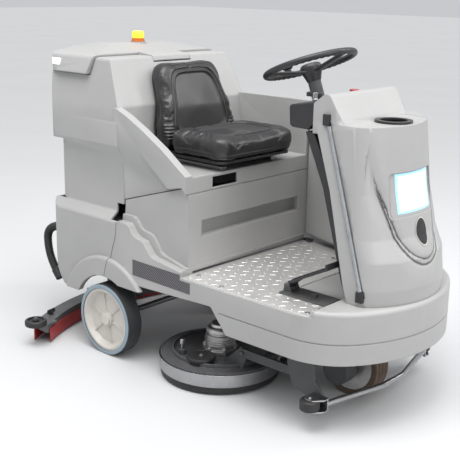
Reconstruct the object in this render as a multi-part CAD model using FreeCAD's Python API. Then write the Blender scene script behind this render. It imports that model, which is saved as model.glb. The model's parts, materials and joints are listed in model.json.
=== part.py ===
"""Ride-on floor scrubber, modelled as an assembly of separate pieces.

Millimetres.  +X is forward, +Y is the driver's left, +Z is up.  The origin is on the floor, at the
middle of the machine's length and width.  Every piece is written to parts/NODE.step.
"""
import FreeCAD
import Part
import math
import os

V = FreeCAD.Vector
AXIS_X = V(1, 0, 0)
AXIS_Y = V(0, 1, 0)
AXIS_Z = V(0, 0, 1)
FAR = 3000.0                 # longer than the machine, for cutting tools

# ---------------------------------------------------------------- fits and clearances
RUN = 0.05                   # radial clearance of a shaft in its hole
GAP = 0.4                    # between pieces that move past each other
SEAT = 0.3                   # between a piece and what carries it
SEAM = 3.0                   # open joint between two mouldings

# ---------------------------------------------------------------- overall
LENGTH = 1780.0              # bow of the base to the loop of the drain hose
FRONT_X = LENGTH / 2
REAR_X = -LENGTH / 2
BASE_HALF = 410.0            # half-width of the base moulding
TANK_HALF = 383.0            # half-width of the tank moulding at its widest
WALL = 7.0                   # rotomoulded wall

# ---------------------------------------------------------------- wheels
WHEEL_R = 150.0
WHEEL_W = 75.0
WHEEL_X = -360.0
WHEEL_Y = 392.0              # middle of the tyre
TYRE_T = 18.0
AXLE_R = 12.5
CAP_R = 24.0
ARCH_R = 187.0               # inside of the wheel arch
FLARE_R = 268.0              # outside of the raised band round the arch
FLARE_T = 16.0
DRIVE_R = 125.0
DRIVE_W = 80.0
DRIVE_X = 590.0
DRIVE_TYRE_T = 24.0
DRIVE_AXLE_R = 14.0
DRIVE_AXLE_OUT = 6.0         # how far the gearbox shaft reaches past the hub
MOTOR_R = 57.0
MOTOR_L = 58.0

# ---------------------------------------------------------------- base moulding
BASE_BOTTOM = 262.0
BASE_TOP = 450.0
DECK_Z = 430.0               # top of the tread plate
DECK_T = 4.0
SILL_Z = 335.0               # bottom of the sill between the arch and the front skirt
SILL_FRONT_X = 300.0
CORNER_R = 250.0             # plan radius of the two front corners
BASE_BOW_R = 520.0           # plan radius of the bow between them
BOX_FRONT_X = 60.0           # front of the seat box
BOX_HALF = 365.0
BOX_TOP = 738.0
SEAM_HIGH = 762.0            # where the seam meets the seat box's front corner
SEAM_LOW = 662.0             # where it turns down at the rear
SEAM_X = -290.0
SEAM_PATH = [(-290.0, 662.0), (-296.0, 590.0), (-305.0, 514.0), (-342.0, 400.0), (-357.0, 350.0),
             (-375.0, 238.0)]
STEP_EDGE_Y = -402.0
DECK_LEFT_Y = 352.0
DECK_FRONT_X = 672.0
SCREW_SPOTS = [(330, 196), (90, 300), (104, -352), (640, -380), (648, -318), (250, -384)]

# ---------------------------------------------------------------- recovery tank and lid
TANK_REAR_X = -762.0
WAIST_REAR_X = -718.0
WAIST_HALF = 361.0
WAIST_TOP = 862.0
WAIST_BOTTOM = 600.0
TANK_BOTTOM = 238.0
TANK_TOP = 1132.0            # rim under the lid
SHOULDER_TOP = 1203.0
SHOULDER_X = -407.0
LID_SEAM_X = -500.0
LID_TOP = 1246.0
LID_REAR_X = -780.0
LID_T = 7.0
TONGUE_HALF = 106.0
TRAY_Z = 800.0               # floor of the seat tray
TRAY_BOTTOM = 741.0
WING_T = 36.0
LEFT_WING_Z = 1030.0
TILT_X = -650.0
TILT_Z = 300.0
TILT_PIN_R = 8.0
LID_PIN_R = 5.0
LID_HINGE_X = -773.0
LID_HINGE_Z = 1120.0
BEACON_X = -610.0
BEACON_R = 27.0
HOSE_R = 19.0
HOSE_Y = -318.0
HOSE_CAP_L = 46.0

# ---------------------------------------------------------------- nose tank and console
NOSE_TOP = 1045.0
HOOD_TOP = 1152.0
NOSE_HALF_TOP = 204.0
NOSE_HALF_BOTTOM = 250.0
NOSE_BOW_R = 350.0
NOSE_CORNER_R = 62.0
CHIN_Z = 640.0               # centre of the crescent recess under the lamp
CHIN_R = 92.0
CHIN_DEPTH = 5.0
FILLER_X = 690.0
FILLER_R = 56.0
FILLER_RING_R = 66.0
LIGHT_HALF = 130.0
LIGHT_LOW = 742.0
LIGHT_HIGH = 890.0
COVER_DEPTH = 46.0

# ---------------------------------------------------------------- steering
STEER_X = 321.0
STEER_Z = 1214.0
STEER_TILT = 21.0
STEER_RIM_R = 166.0
STEER_TUBE_R = 12.0
STEER_SHAFT_R = 12.0
COLUMN_R = 24.0
KNOB_R = 21.0
KNOB_ANGLE = 158.0           # where the spinner knob sits on the rim

KEY_X = 440.0
KEY_Y = -120.0
ESTOP_X = 440.0
ESTOP_Y = 120.0
LEVER_X = 420.0
LEVER_Y = -70.0

# ---------------------------------------------------------------- accelerator pedal
PEDAL_X = 460.0
PEDAL_Y = -243.0
PEDAL_PIVOT_Z = 458.0
PEDAL_PIN_R = 5.0
PEDAL_L = 205.0
PEDAL_HALF = 38.0
PEDAL_ANGLE = 27.0

# ---------------------------------------------------------------- seat
SEAT_HALF = 235.0
SEAT_FRONT_X = 112.0
SEAT_Z = 842.0
CUSHION_T = 92.0
BACK_TOP = 1190.0
BACK_HALF = 215.0
BACK_TOP_HALF = 166.0        # the backrest narrows towards its top
RAIL_Y = 150.0

# ---------------------------------------------------------------- brush deck
RING_X = 95.0
RING_Y = 215.0
RING_R = 240.0
RING_T = 4.0
RING_LOW = 34.0
RING_HIGH = 84.0
SKIRT_LOW = 9.0
DECK_PLATE_Z = 84.0
DECK_PLATE_T = 6.0
BRUSH_R = RING_R - 35.0     # room for the skirt inside the hoop
BRUSH_LOW = 5.0
BRUSH_HIGH = 62.0
BRUSH_SHAFT_R = 11.0
BRUSH_MOTOR_R = 58.0
ARM_Y = 300.0
ARM_PIVOT_X = 545.0
ARM_PIVOT_Z = 160.0
ARM_REAR_X = 290.0
ARM_REAR_Z = 160.0
ARM_T = 12.0
ARM_PIN_R = 7.0
LATCH_X = 20.0
LATCH_Y = -352.0
LATCH_R = 6.0
TIE_R = 9.0                  # tie-down hole in the front web

# ---------------------------------------------------------------- squeegee
SQ_HALF = 535.0
SQ_MID_X = -838.0            # middle of the blade's arc
SQ_TIP_X = -690.0
SQ_LOW = 3.0
SQ_BLADE_TOP = 62.0
SQ_BODY_LOW = 52.0
SQ_BODY_HIGH = 86.0
SQ_BODY_D = 74.0
SQ_ROLLER_R = 46.0
SQ_ROLLER_Y = 566.0
SQ_ROLLER_X = -640.0
SQ_PIN_R = 8.0
SQ_PIVOT_X = -420.0          # lift hinge of the arm, under the chassis
SQ_PIVOT_Z = 190.0
SQ_SWING_X = -640.0

# ---------------------------------------------------------------- bumper
BUMP_TUBE_R = 11.0
BUMP_Z = 100.0
BUMP_FRONT_X = 758.0
BUMP_ROLLER_R = 36.0
BUMP_ROLLER_X = 660.0
BUMP_ROLLER_Y = 372.0
BUMP_ROLLER_T = 38.0
BUMP_PIN_R = 6.0


# ================================================================ helpers
def box(x0, x1, y0, y1, z0, z1):
    """A block given by its lowest and highest corners."""
    return Part.makeBox(x1 - x0, y1 - y0, z1 - z0, V(x0, y0, z0))


def rod(radius, start, direction, length):
    """A round bar from start along direction."""
    return Part.makeCylinder(radius, length, V(*start), V(direction))


def ring(outer, inner, start, direction, length):
    """A round tube from start along direction."""
    return rod(outer, start, direction, length).cut(rod(inner, start, direction, length))


def cross_rod(radius, x, z, y0, y1):
    """A round bar along Y."""
    return rod(radius, (x, y0, z), AXIS_Y, y1 - y0)


def rounded_wire(points, place):
    """A closed outline through (a, b, corner radius); place turns (a, b) into a 3D point."""
    count = len(points)
    corners = []
    for i in range(count):
        a, b, r = points[i]
        here = V(a, b, 0)
        back = V(points[i - 1][0], points[i - 1][1], 0) - here
        ahead = V(points[(i + 1) % count][0], points[(i + 1) % count][1], 0) - here
        if r == 0:
            corners.append((here, None, here))
            continue
        half = back.getAngle(ahead) / 2
        reach = r / math.tan(half)
        back.normalize()
        ahead.normalize()
        middle = back + ahead
        middle.normalize()
        top = here + middle * (r / math.sin(half) - r)
        corners.append((here + back * reach, top, here + ahead * reach))
    edges = []
    for i in range(count):
        start, top, end = corners[i]
        if top is not None:
            edges.append(Part.Arc(place(start), place(top), place(end)).toShape())
        following = corners[(i + 1) % count][0]
        if end.distanceToPoint(following) > 0.001:
            edges.append(Part.LineSegment(place(end), place(following)).toShape())
    return Part.Wire(edges)


def side_prism(points, y0, y1):
    """An outline in (x, z, corner radius), extruded along Y."""
    wire = rounded_wire(points, lambda p: V(p.x, y0, p.y))
    return Part.Face(wire).extrude(V(0, y1 - y0, 0))


def plan_prism(points, z0, z1):
    """An outline in (x, y, corner radius), extruded along Z."""
    wire = rounded_wire(points, lambda p: V(p.x, p.y, z0))
    return Part.Face(wire).extrude(V(0, 0, z1 - z0))


def end_prism(points, x0, x1):
    """An outline in (y, z, corner radius), extruded along X."""
    wire = rounded_wire(points, lambda p: V(x0, p.x, p.y))
    return Part.Face(wire).extrude(V(x1 - x0, 0, 0))


def both_sides(half_points):
    """A right-left symmetrical outline from its left half, listed upwards from the middle."""
    other = [(-y, z, r) for y, z, r in reversed(half_points)]
    return half_points + other


def fuse(shapes):
    whole = shapes[0]
    if len(shapes) > 1:
        whole = whole.fuse(shapes[1:])
    return whole.removeSplitter()


def group(shapes):
    """Several separate solids that share one node."""
    return Part.makeCompound(shapes)


def mirrored(shape):
    """The same piece on the other side of the machine."""
    return shape.mirror(V(0, 0, 0), AXIS_Y)


def turned(shape, centre, axis, degrees):
    copy = shape.copy()
    copy.rotate(V(*centre), V(axis), degrees)
    return copy


def soften(shape, radius, chosen):
    """Rounds the edges for which chosen(edge) is true."""
    edges = [edge for edge in shape.Edges if chosen(edge)]
    return shape.makeFillet(radius, edges)


def slab(x0, x1, y0, y1, z0, z1, corner, edge):
    """A block with round upright corners and softened top edges."""
    points = [(x0, y0, corner), (x1, y0, corner), (x1, y1, corner), (x0, y1, corner)]
    block = plan_prism(points, z0, z1)
    if edge == 0:
        return block
    return soften(block, edge, lambda e: e.BoundBox.ZMin > z1 - 0.01)


def save(name, shape):
    solids = shape.Solids
    assert solids, name
    for solid in solids:
        assert solid.isValid(), name
    shape.exportStep("parts/" + name + ".step")
    print(name, len(solids), "solids", round(shape.Volume / 1000.0, 1), "cm3")


# ================================================================ chassis
def hinge_ear_y():
    """The y stations of the tank hinge: ear, lug, ear."""
    return 205.0, 217.0, 247.0, 259.0


def chassis_frame():
    """Two rails, cross members, battery floor, front head plate and the bracket plates."""
    rail_y0 = 238.0
    rail_y1 = 278.0
    rail_low = 280.0
    rail_high = 322.0
    rear_x = -610.0
    front_x = 700.0
    pieces = []
    for side in (-1, 1):
        low, high = sorted((side * rail_y0, side * rail_y1))
        pieces.append(box(rear_x, front_x, low, high, rail_low, rail_high))
    for x in (rear_x, -300.0, 20.0, 300.0, 660.0):
        pieces.append(box(x, x + 40.0, -rail_y1, rail_y1, rail_low, rail_high))
    pieces.append(box(-300.0, 40.0, -320.0, 320.0, rail_high, rail_high + 4.0))
    pieces.append(box(520.0, 680.0, -rail_y1, rail_y1, rail_low + 26.0, rail_high))
    ear_0, ear_1, ear_2, ear_3 = hinge_ear_y()
    for side in (-1, 1):
        for y0, y1 in ((ear_0, ear_1), (ear_2, ear_3)):
            low, high = sorted((side * y0, side * y1))
            pieces.append(box(TILT_X, rear_x + 30.0, low, high, TILT_Z - 13.0, TILT_Z + 13.0))
            pieces.append(cross_rod(13.0, TILT_X, TILT_Z, low, high))
        pin_0, pin_1 = sorted((side * (ear_0 - 6.0), side * (ear_3 + 6.0)))
        pieces.append(cross_rod(TILT_PIN_R, TILT_X, TILT_Z, pin_0, pin_1))
        plate_0, plate_1 = sorted((side * 318.0, side * 326.0))
        plate = side_prism([(520, rail_high, 0), (520, 200, 0), (545, 120, 20), (640, 92, 10),
                            (684, 92, 10), (684, 118, 10), (640, 170, 20), (620, rail_high, 0)],
                           plate_0, plate_1)
        web_0, web_1 = sorted((side * rail_y1, side * 326.0))
        pieces.append(plate)
        pieces.append(box(524.0, 690.0, web_0, web_1, rail_low + 26.0, rail_high))
        pieces.append(cross_rod(ARM_PIN_R, ARM_PIVOT_X, ARM_PIVOT_Z,
                                *sorted((side * (ARM_Y - ARM_T), side * 322.0))))
        hang_0, hang_1 = sorted((side * 60.0, side * 72.0))
        pieces.append(side_prism([(SQ_PIVOT_X - 30, rail_high, 0), (SQ_PIVOT_X + 30, rail_high, 0),
                                  (SQ_PIVOT_X + 20, SQ_PIVOT_Z - 20, 15),
                                  (SQ_PIVOT_X - 20, SQ_PIVOT_Z - 20, 15)], hang_0, hang_1))
        drop_0, drop_1 = sorted((side * 290.0, side * 306.0))
        pieces.append(box(WHEEL_X - 40.0, WHEEL_X + 40.0, drop_0, drop_1, WHEEL_R - 30.0, rail_high))
        cross_0, cross_1 = sorted((side * rail_y0, side * 306.0))
        pieces.append(box(WHEEL_X - 40.0, WHEEL_X + 40.0, cross_0, cross_1, rail_low, rail_high))
    pieces.append(box(SQ_PIVOT_X - 30, SQ_PIVOT_X + 30, -rail_y1, rail_y1, rail_low, rail_high))
    pieces.append(cross_rod(SQ_PIN_R, SQ_PIVOT_X, SQ_PIVOT_Z, -78.0, 78.0))
    frame = fuse(pieces)
    frame = frame.cut(cross_rod(AXLE_R + RUN, WHEEL_X, WHEEL_R, -FAR / 2, FAR / 2))
    frame = frame.cut(rod(45.0 + SEAT, (DRIVE_X, 0, 0), AXIS_Z, FAR))
    for side in (-1, 1):
        frame = frame.cut(rod(TIE_R, (650.0, side * 300.0, 0), AXIS_Z, FAR))
    return frame



def axle_end():
    """Half-length of the rear axle; its ends stop inside the hub caps."""
    return WHEEL_Y + WHEEL_W / 2 - 16.0


def rear_axle():
    """A through shaft that carries both rear wheels, with its end grooves."""
    end = axle_end()
    return cross_rod(AXLE_R, WHEEL_X, WHEEL_R, -end, end)


def batteries():
    """Four deep-cycle batteries, two by two, with terminal posts."""
    gap = 6.0
    length = 148.0
    width = 190.0
    high = 270.0
    floor = 326.0 + SEAT
    cells = []
    for i in (0, 1):
        for side in (-1, 1):
            x0 = -290.0 + i * (length + gap)
            y0, y1 = sorted((side * gap / 2, side * (gap / 2 + width)))
            case = box(x0, x0 + length, y0, y1, floor, floor + high)
            lid = box(x0 + 6, x0 + length - 6, y0 + 6, y1 - 6, floor + high, floor + high + 12)
            posts = [rod(9, (x0 + 30, y, floor + high), AXIS_Z, 30) for y in (y0 + 35, y1 - 35)]
            cells.append(fuse([case, lid] + posts))
    return group(cells)


# ================================================================ base moulding
def bowed_end(front, half, bow_r, corner_r, z):
    """Points of a bowed front end: side, corner arc, bow arc, corner arc, side, all tangent."""
    bow_x = front - bow_r
    flat = half - corner_r
    corner_x = bow_x + math.sqrt((bow_r - corner_r) ** 2 - flat ** 2)
    angle = math.atan2(flat, corner_x - bow_x)
    join = V(bow_x + bow_r * math.cos(angle), bow_r * math.sin(angle), z)
    middle = (angle + math.pi / 2) / 2
    top = V(corner_x + corner_r * math.cos(middle), flat + corner_r * math.sin(middle), z)
    start = V(corner_x, half, z)
    return start, top, join


def bowed_outline(rear, front, half, bow_r, corner_r, z):
    """A closed plan with a straight back, straight sides and a bowed front."""
    start, top, join = bowed_end(front, half, bow_r, corner_r, z)
    nose = V(front, 0, z)
    back_right = V(rear, -half, z)
    back_left = V(rear, half, z)
    start_r = V(start.x, -start.y, z)
    top_r = V(top.x, -top.y, z)
    join_r = V(join.x, -join.y, z)
    edges = [Part.LineSegment(back_right, start_r).toShape(), Part.Arc(start_r, top_r, join_r).toShape(),
             Part.Arc(join_r, nose, join).toShape(), Part.Arc(join, top, start).toShape(),
             Part.LineSegment(start, back_left).toShape(), Part.LineSegment(back_left, back_right).toShape()]
    return Part.Wire(edges)


def base_outline(inset):
    """Plan of the base: straight sides, round front corners and a bowed front."""
    return bowed_outline(-150.0, FRONT_X - inset, BASE_HALF - inset, BASE_BOW_R - inset, CORNER_R - inset, 0)


def base_block(inset, low, high):
    wire = base_outline(inset)
    wire.translate(V(0, 0, low))
    return Part.Face(wire).extrude(V(0, 0, high - low))


def seam_line(drop):
    """The seam between the base and the tank, as (x, z), from the front corner to the arch."""
    front = [(BOX_FRONT_X, BOX_TOP - drop), (BOX_FRONT_X - 22, SEAM_HIGH - drop), (SEAM_X, SEAM_LOW - drop)]
    return front + [(x + drop, z) for x, z in SEAM_PATH[1:4]]


def shoulder_side(half, lift):
    """Side skirt from the arch to the front, with its S-shaped shoulder line."""
    points = [(-345, 200, 0), (-345, 578 + lift, 0), (-232 + lift / 2, 578 + lift, 30),
              (-196 + lift / 2, 534 + lift, 40), (-146 + lift, 524 + lift, 30),
              (-96 + lift, 470 + lift / 2, 40), (70 + lift, 446, 0), (70 + lift, 200, 0)]
    return side_prism(points, -half, half)


def base_body():
    """Seat box, floor, sills and bowed front skirt in one moulding, open underneath."""
    deck_under = DECK_Z - DECK_T - SEAT
    skirt = base_block(0, BASE_BOTTOM, BASE_TOP)
    skirt = soften(skirt, 16, lambda e: e.BoundBox.ZMin > BASE_TOP - 0.01 and e.BoundBox.XMax > -149)
    side_low = shoulder_side(BASE_HALF, 0)
    side_high = shoulder_side(BOX_HALF + 12, 26)
    seam = [(x, z, 0) for x, z in seam_line(SEAM)]
    box_side = side_prism([(BOX_FRONT_X, 300, 0)] + seam + [(-345, 300, 0)], -BOX_HALF, BOX_HALF)
    seat_box = box_side
    body = fuse([skirt, side_low, side_high, seat_box])
    inner_skirt = base_block(WALL, BASE_BOTTOM - 20, deck_under - WALL)
    inner_side = side_prism([(-360, 180, 0), (-360, 560, 0), (-250, 560, 0), (-170, 505, 0),
                             (-110, 440, 0), (40, deck_under - WALL, 0), (40, 180, 0)],
                            -(BASE_HALF - WALL), BASE_HALF - WALL)
    bay = side_prism([(BOX_FRONT_X - WALL, 260, 0), (BOX_FRONT_X - WALL, BOX_TOP + 60, 0),
                      (-400, BOX_TOP + 60, 0), (-400, 260, 0)], -(BOX_HALF - WALL), BOX_HALF - WALL)
    body = body.cut([inner_skirt, inner_side, bay])
    deck_pocket = box(BOX_FRONT_X + SEAM, DECK_FRONT_X, STEP_EDGE_Y - 10, DECK_LEFT_Y, deck_under, BASE_TOP + 5)
    body = body.cut(deck_pocket)
    notch = side_prism([(-360, 100, 0), (-360, SILL_Z - 6, 0), (SILL_FRONT_X - 80, SILL_Z + 18, 12),
                        (SILL_FRONT_X, BASE_BOTTOM - 2, 0), (SILL_FRONT_X, 100, 0)], -FAR / 2, FAR / 2)
    body = body.cut(notch)
    arch = cross_rod(ARCH_R, WHEEL_X, WHEEL_R, -FAR / 2, FAR / 2)
    body = body.cut(arch)
    slot = box(BOX_FRONT_X - 30, BOX_FRONT_X + 10, -292, 305, 566, 628)
    slot_back = box(BOX_FRONT_X - 30 - WALL, BOX_FRONT_X, -299, 312, 559, 635)
    body = body.fuse(slot_back.common(box(-FAR, BOX_FRONT_X - 1, -FAR, FAR, 0, FAR))).cut(slot)
    groove = base_block(0, SILL_Z, SILL_Z + 4).cut(base_block(3, SILL_Z - 1, SILL_Z + 5))
    body = body.cut(groove.common(box(SILL_FRONT_X - 40, FAR, -FAR, FAR, 0, FAR)))
    behind = [(x + SEAM, z, 0) for x, z in SEAM_PATH]
    rear_zone = side_prism([(-900, 100, 0)] + [(behind[-1][0], 100, 0)] + list(reversed(behind))
                           + [(SEAM_X + SEAM, 700, 0), (-900, 700, 0)], -FAR / 2, FAR / 2)
    body = body.cut(rear_zone)
    body = body.cut(box(BOX_FRONT_X + SEAM - 0.5, FAR, DECK_LEFT_Y, FAR, BASE_TOP, BASE_TOP + 50))
    return fuse([body] + arch_flares(False))


def arch_flares(on_tank):
    """The raised band round each wheel arch, split at the seam into a rear and a front part."""
    seam_gap = SEAM / 2
    flares = []
    for side in (-1, 1):
        y0, y1 = sorted((side * (BASE_HALF - WALL), side * (BASE_HALF + FLARE_T)))
        band = ring(FLARE_R, ARCH_R, (WHEEL_X, y0, WHEEL_R), AXIS_Y, y1 - y0)
        band = soften(band, 12, lambda e: abs(abs(e.BoundBox.YMin) - BASE_HALF - FLARE_T) < 0.01
                      and abs(abs(e.BoundBox.YMax) - BASE_HALF - FLARE_T) < 0.01
                      and e.BoundBox.ZLength > 2 * FLARE_R - 1)
        if on_tank:
            path = [(x - seam_gap, z, 0) for x, z in reversed(SEAM_PATH)]
            keep = side_prism(path + [(SEAM_X - seam_gap, FAR, 0), (-FAR, FAR, 0), (-FAR, TANK_BOTTOM, 0)],
                              -FAR, FAR)
        else:
            path = [(x + seam_gap, z, 0) for x, z in reversed(SEAM_PATH)]
            keep = side_prism(path + [(SEAM_X + seam_gap, FAR, 0), (FAR, FAR, 0), (FAR, TANK_BOTTOM, 0)],
                              -FAR, FAR)
            keep = keep.cut(box(-FAR, FAR, -FAR, FAR, 0, SILL_Z - 18))
        flares.append(band.common(keep))
    return flares


def wall_line(x):
    """y of the left wall's inner face, which slants in towards the nose."""
    return DECK_LEFT_Y + 5 - (x - BOX_FRONT_X - SEAM) * 105.0 / 367.0


def left_side_wall():
    """Closed wall on the driver's left, from the seat to the nose."""
    x0 = BOX_FRONT_X + SEAM
    points = [(x0, wall_line(x0), 0), (430, wall_line(430), 0), (640, 262, 0), (640, 300, 40),
              (560, 404, 60), (x0, 404, 0)]
    wall = plan_prism(points, BASE_TOP + SEAT, LEFT_WING_Z)
    wall = soften(wall, 10, lambda e: e.BoundBox.ZMin > LEFT_WING_Z - 0.01)
    inner = [(x0 + WALL, wall_line(x0 + WALL) + 8, 0), (432, wall_line(432) + 9, 0), (630, 270, 0),
             (630, 300, 34), (556, 396, 54), (x0 + WALL, 396, 0)]
    return wall.cut(plan_prism(inner, BASE_TOP - 20, LEFT_WING_Z - WALL))


def left_foot_panel():
    """Flat riveted panel that lines the wall beside the driver's left foot."""
    x0 = BOX_FRONT_X + SEAM + 6
    x1 = 428
    off = SEAT * 1.05
    points = [(x0, wall_line(x0) - off, 0), (x1, wall_line(x1) - off, 0), (x1, wall_line(x1) - off - 3, 0),
              (x0, wall_line(x0) - off - 3, 0)]
    return plan_prism(points, BASE_TOP + 8, 900)


def tread_plate():
    """Checker-plate deck with a sloped nosing at the step edge and a turned-up rear edge."""
    x0 = BOX_FRONT_X + SEAM + 4
    left = DECK_LEFT_Y - 22
    plate = plan_prism([(x0, STEP_EDGE_Y + 40, 0), (x0 + 30, STEP_EDGE_Y, 0), (DECK_FRONT_X - 16, STEP_EDGE_Y, 0),
                        (DECK_FRONT_X - 8, STEP_EDGE_Y + 30, 0), (DECK_FRONT_X - 8, -262, 0), (x0 + 380, -262, 0),
                        (x0 + 380, 200, 0), (x0, left, 0)], DECK_Z - DECK_T, DECK_Z)
    rows = []
    pitch = 40.0
    columns = int(580 / pitch)
    for i in range(columns):
        for j in range(17):
            x = x0 + 24 + i * pitch + (j % 2) * pitch / 2
            y = STEP_EDGE_Y + 22 + j * pitch
            limit = left - 20 - (x - x0) * 0.35
            if x > x0 + 360 and y > -290:
                continue
            if x > DECK_FRONT_X - 40 or y > limit:
                continue
            if min(math.hypot(x - a, y - b) for a, b in SCREW_SPOTS) < 22:
                continue
            turn = 45.0 if (i + j) % 2 else -45.0
            stud = box(-11, 11, -2.2, 2.2, 0, 1.2)
            stud.rotate(V(0, 0, 0), AXIS_Z, turn)
            stud.translate(V(x, y, DECK_Z - 0.2))
            rows.append(stud)
    return plate.fuse(rows)


def deck_screws():
    """Button-head screws of the tread plate and the side panel, as separate solids."""
    heads = []
    for x, y in SCREW_SPOTS:
        head = rod(8, (x, y, DECK_Z + SEAT), AXIS_Z, 4)
        socket = rod(3, (x, y, DECK_Z + SEAT + 2), AXIS_Z, 4)
        heads.append(head.cut(socket))
    return group(heads)


# ================================================================ nose
def nose_levels():
    """Height, back, front and half-width of the leaning nose."""
    low = NOSE_HALF_BOTTOM
    top = NOSE_HALF_TOP
    return [(BASE_TOP + SEAT, 705, FRONT_X - 14, low), (505, 684, FRONT_X - 12, low - 3),
            (600, 655, 866, low - 12), (673, 634, 832, low - 19), (820, 590, 800, low - 32),
            (NOSE_TOP, 506, 768, top)]


def nose_block(inset):
    """The nose from its levels; inset gives the inside of the tank."""
    wires = []
    levels = nose_levels()
    for i, (z, rear, front, half) in enumerate(levels):
        lift = inset if i == 0 else (-inset if i == len(levels) - 1 else 0)
        wires.append(bowed_outline(rear + inset, front - inset, half - inset, NOSE_BOW_R - inset,
                                   NOSE_CORNER_R - inset, z + lift))
    return Part.makeLoft(wires, True, True)


def hood_block(inset):
    """Console hood on top of the nose; inset gives its inside."""
    i = inset
    side = side_prism([(497 + i, NOSE_TOP - 40, 0), (497 + i, 1108 - i / 2, 12), (556, HOOD_TOP - i * 1.4, 22),
                       (614 - i, 1060 - i / 2, 12), (640 - i, NOSE_TOP - 40, 0)],
                      -NOSE_HALF_TOP + i, NOSE_HALF_TOP - i)
    plan = plan_prism([(480, -NOSE_HALF_TOP, 0), (620, -NOSE_HALF_TOP, 30), (650, 0, 300),
                       (620, NOSE_HALF_TOP, 30), (480, NOSE_HALF_TOP, 0)], 900, 1300)
    return side.common(plan).cut(rod(FILLER_RING_R + 8 + i, (FILLER_X, 0, NOSE_TOP - i), AXIS_Z, 120))


def groove_backing():
    """Extra wall behind the sight-tube groove and its two end blocks."""
    blocks = [fitting_block(grow=WALL, upper=upper) for upper in (True, False)]
    zone = sight_groove(2 * WALL).fuse(blocks)
    skin = nose_block(0).fuse(hood_block(0)).cut(nose_block(9 + WALL)).cut(hood_block(9 + WALL))
    return skin.common(zone).common(box(-FAR, FAR, -FAR, -150, 0, FAR))


def nose_tank():
    """Solution tank and console hood in one moulding, with the lamp pocket and the filler hole."""
    body = nose_block(0).fuse(hood_block(0))
    inner = nose_block(WALL).fuse(hood_block(WALL))
    body = body.cut(inner).fuse(groove_backing())
    body = body.cut(rod(FILLER_R, (FILLER_X, 0, NOSE_TOP - 60), AXIS_Z, 120))
    body = body.cut(light_window(0))
    back = nose_block(34).cut(nose_block(34 + WALL)).common(light_window(-WALL))
    rim = nose_block(1).cut(nose_block(34 + WALL)).common(light_window(-WALL)).cut(light_window(0))
    body = body.fuse([back, rim])
    floor = nose_block(9).fuse(hood_block(9))
    body = body.cut(sight_groove(0).cut(floor))
    body = body.cut([fitting_block(grow=SEAT, upper=True), fitting_block(grow=SEAT, upper=False)])
    return body.cut(chin_recess()).removeSplitter()


def chin_recess():
    """The shallow crescent under the lamp: the lower half of a flat ring that is let into the nose."""
    levels = nose_levels()
    (low_z, _rear_0, low_x, _half_0), (high_z, _rear_1, high_x, _half_1) = levels[2], levels[3]
    lean = V(low_x - high_x, 0, low_z - high_z)
    share = (CHIN_Z - low_z) / (high_z - low_z)
    face = V(low_x + (high_x - low_x) * share, 0, CHIN_Z)
    out = V(-lean.z, 0, lean.x)
    out.normalize()
    band_r = 22.0
    torus = Part.makeTorus(CHIN_R, band_r, face + out * (band_r - CHIN_DEPTH), out)
    return torus.common(box(0, FAR, -FAR, FAR, 0, CHIN_Z))


def light_window(inset):
    """Window of the lamp, through the front of the nose."""
    half = LIGHT_HALF - inset
    return end_prism([(half, LIGHT_LOW + inset, 16), (half, LIGHT_HIGH - inset, 16),
                      (-half, LIGHT_HIGH - inset, 16), (-half, LIGHT_LOW + inset, 16)], 700, 900)


def headlight_lens():
    """Curved clear cover that follows the front of the nose inside its window."""
    skin = nose_block(5).cut(nose_block(9))
    return skin.common(light_window(GAP))


def groove_line():
    """The two ends of the sight tube, on the right-hand side of the nose."""
    return V(556, 0, 1066), V(766, 0, 478)


def sight_groove(grow):
    """A shallow channel for the sight tube."""
    top, foot = groove_line()
    run = foot - top
    width = 17.0 + grow
    side = V(run.z, 0, -run.x)
    side.normalize()
    side = side * width / 2
    corners = [top + side, foot + side, foot - side, top - side]
    return side_prism([(c.x, c.z, 6) for c in corners], -FAR, -(NOSE_HALF_TOP - 9))


def sight_tube_line():
    """Start and run of the sight tube between its two end blocks."""
    top, foot = groove_line()
    start = V(top.x + 30 * (foot.x - top.x) / (top.z - foot.z), -(NOSE_HALF_TOP + 2), top.z - 30)
    end = V(foot.x - 9, -(NOSE_HALF_BOTTOM + 1), foot.z + 26)
    return start, end - start


def sight_tube():
    """Clear level tube of the solution tank."""
    start, run = sight_tube_line()
    return ring(7, 5, (start.x, start.y, start.z), run, run.Length)


def fitting_block(grow, upper):
    """Block at one end of the sight tube, let into the side of the nose."""
    top, foot = groove_line()
    if upper:
        x0, x1, z0, z1, face = top.x - 12, top.x + 14, top.z - 28, top.z + 10, NOSE_HALF_TOP
    else:
        x0, x1, z0, z1, face = foot.x - 22, foot.x + 4, foot.z - 12, foot.z + 24, NOSE_HALF_BOTTOM - 2
    return box(x0 - grow, x1 + grow, -(face + 9), -(face - 7) + grow, z0 - grow, z1 + grow)


def sight_fittings():
    """The two blocks that hold the sight tube."""
    blocks = [fitting_block(grow=0, upper=upper) for upper in (True, False)]
    tube = sight_tube_line()
    start, run = tube
    hole = rod(7 + RUN, (start.x, start.y, start.z), run, run.Length)
    return group([block.cut(hole) for block in blocks])


def filler_strainer():
    """Basket strainer that hangs by its ring in the filler hole."""
    ring_z = NOSE_TOP + SEAT
    flange = ring(FILLER_RING_R, FILLER_R - 8, (FILLER_X, 0, ring_z), AXIS_Z, 8)
    basket = ring(FILLER_R - GAP, FILLER_R - 4, (FILLER_X, 0, ring_z - 80), AXIS_Z, 84)
    floor = rod(FILLER_R - GAP, (FILLER_X, 0, ring_z - 84), AXIS_Z, 4)
    return fuse([flange, basket, floor])


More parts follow.
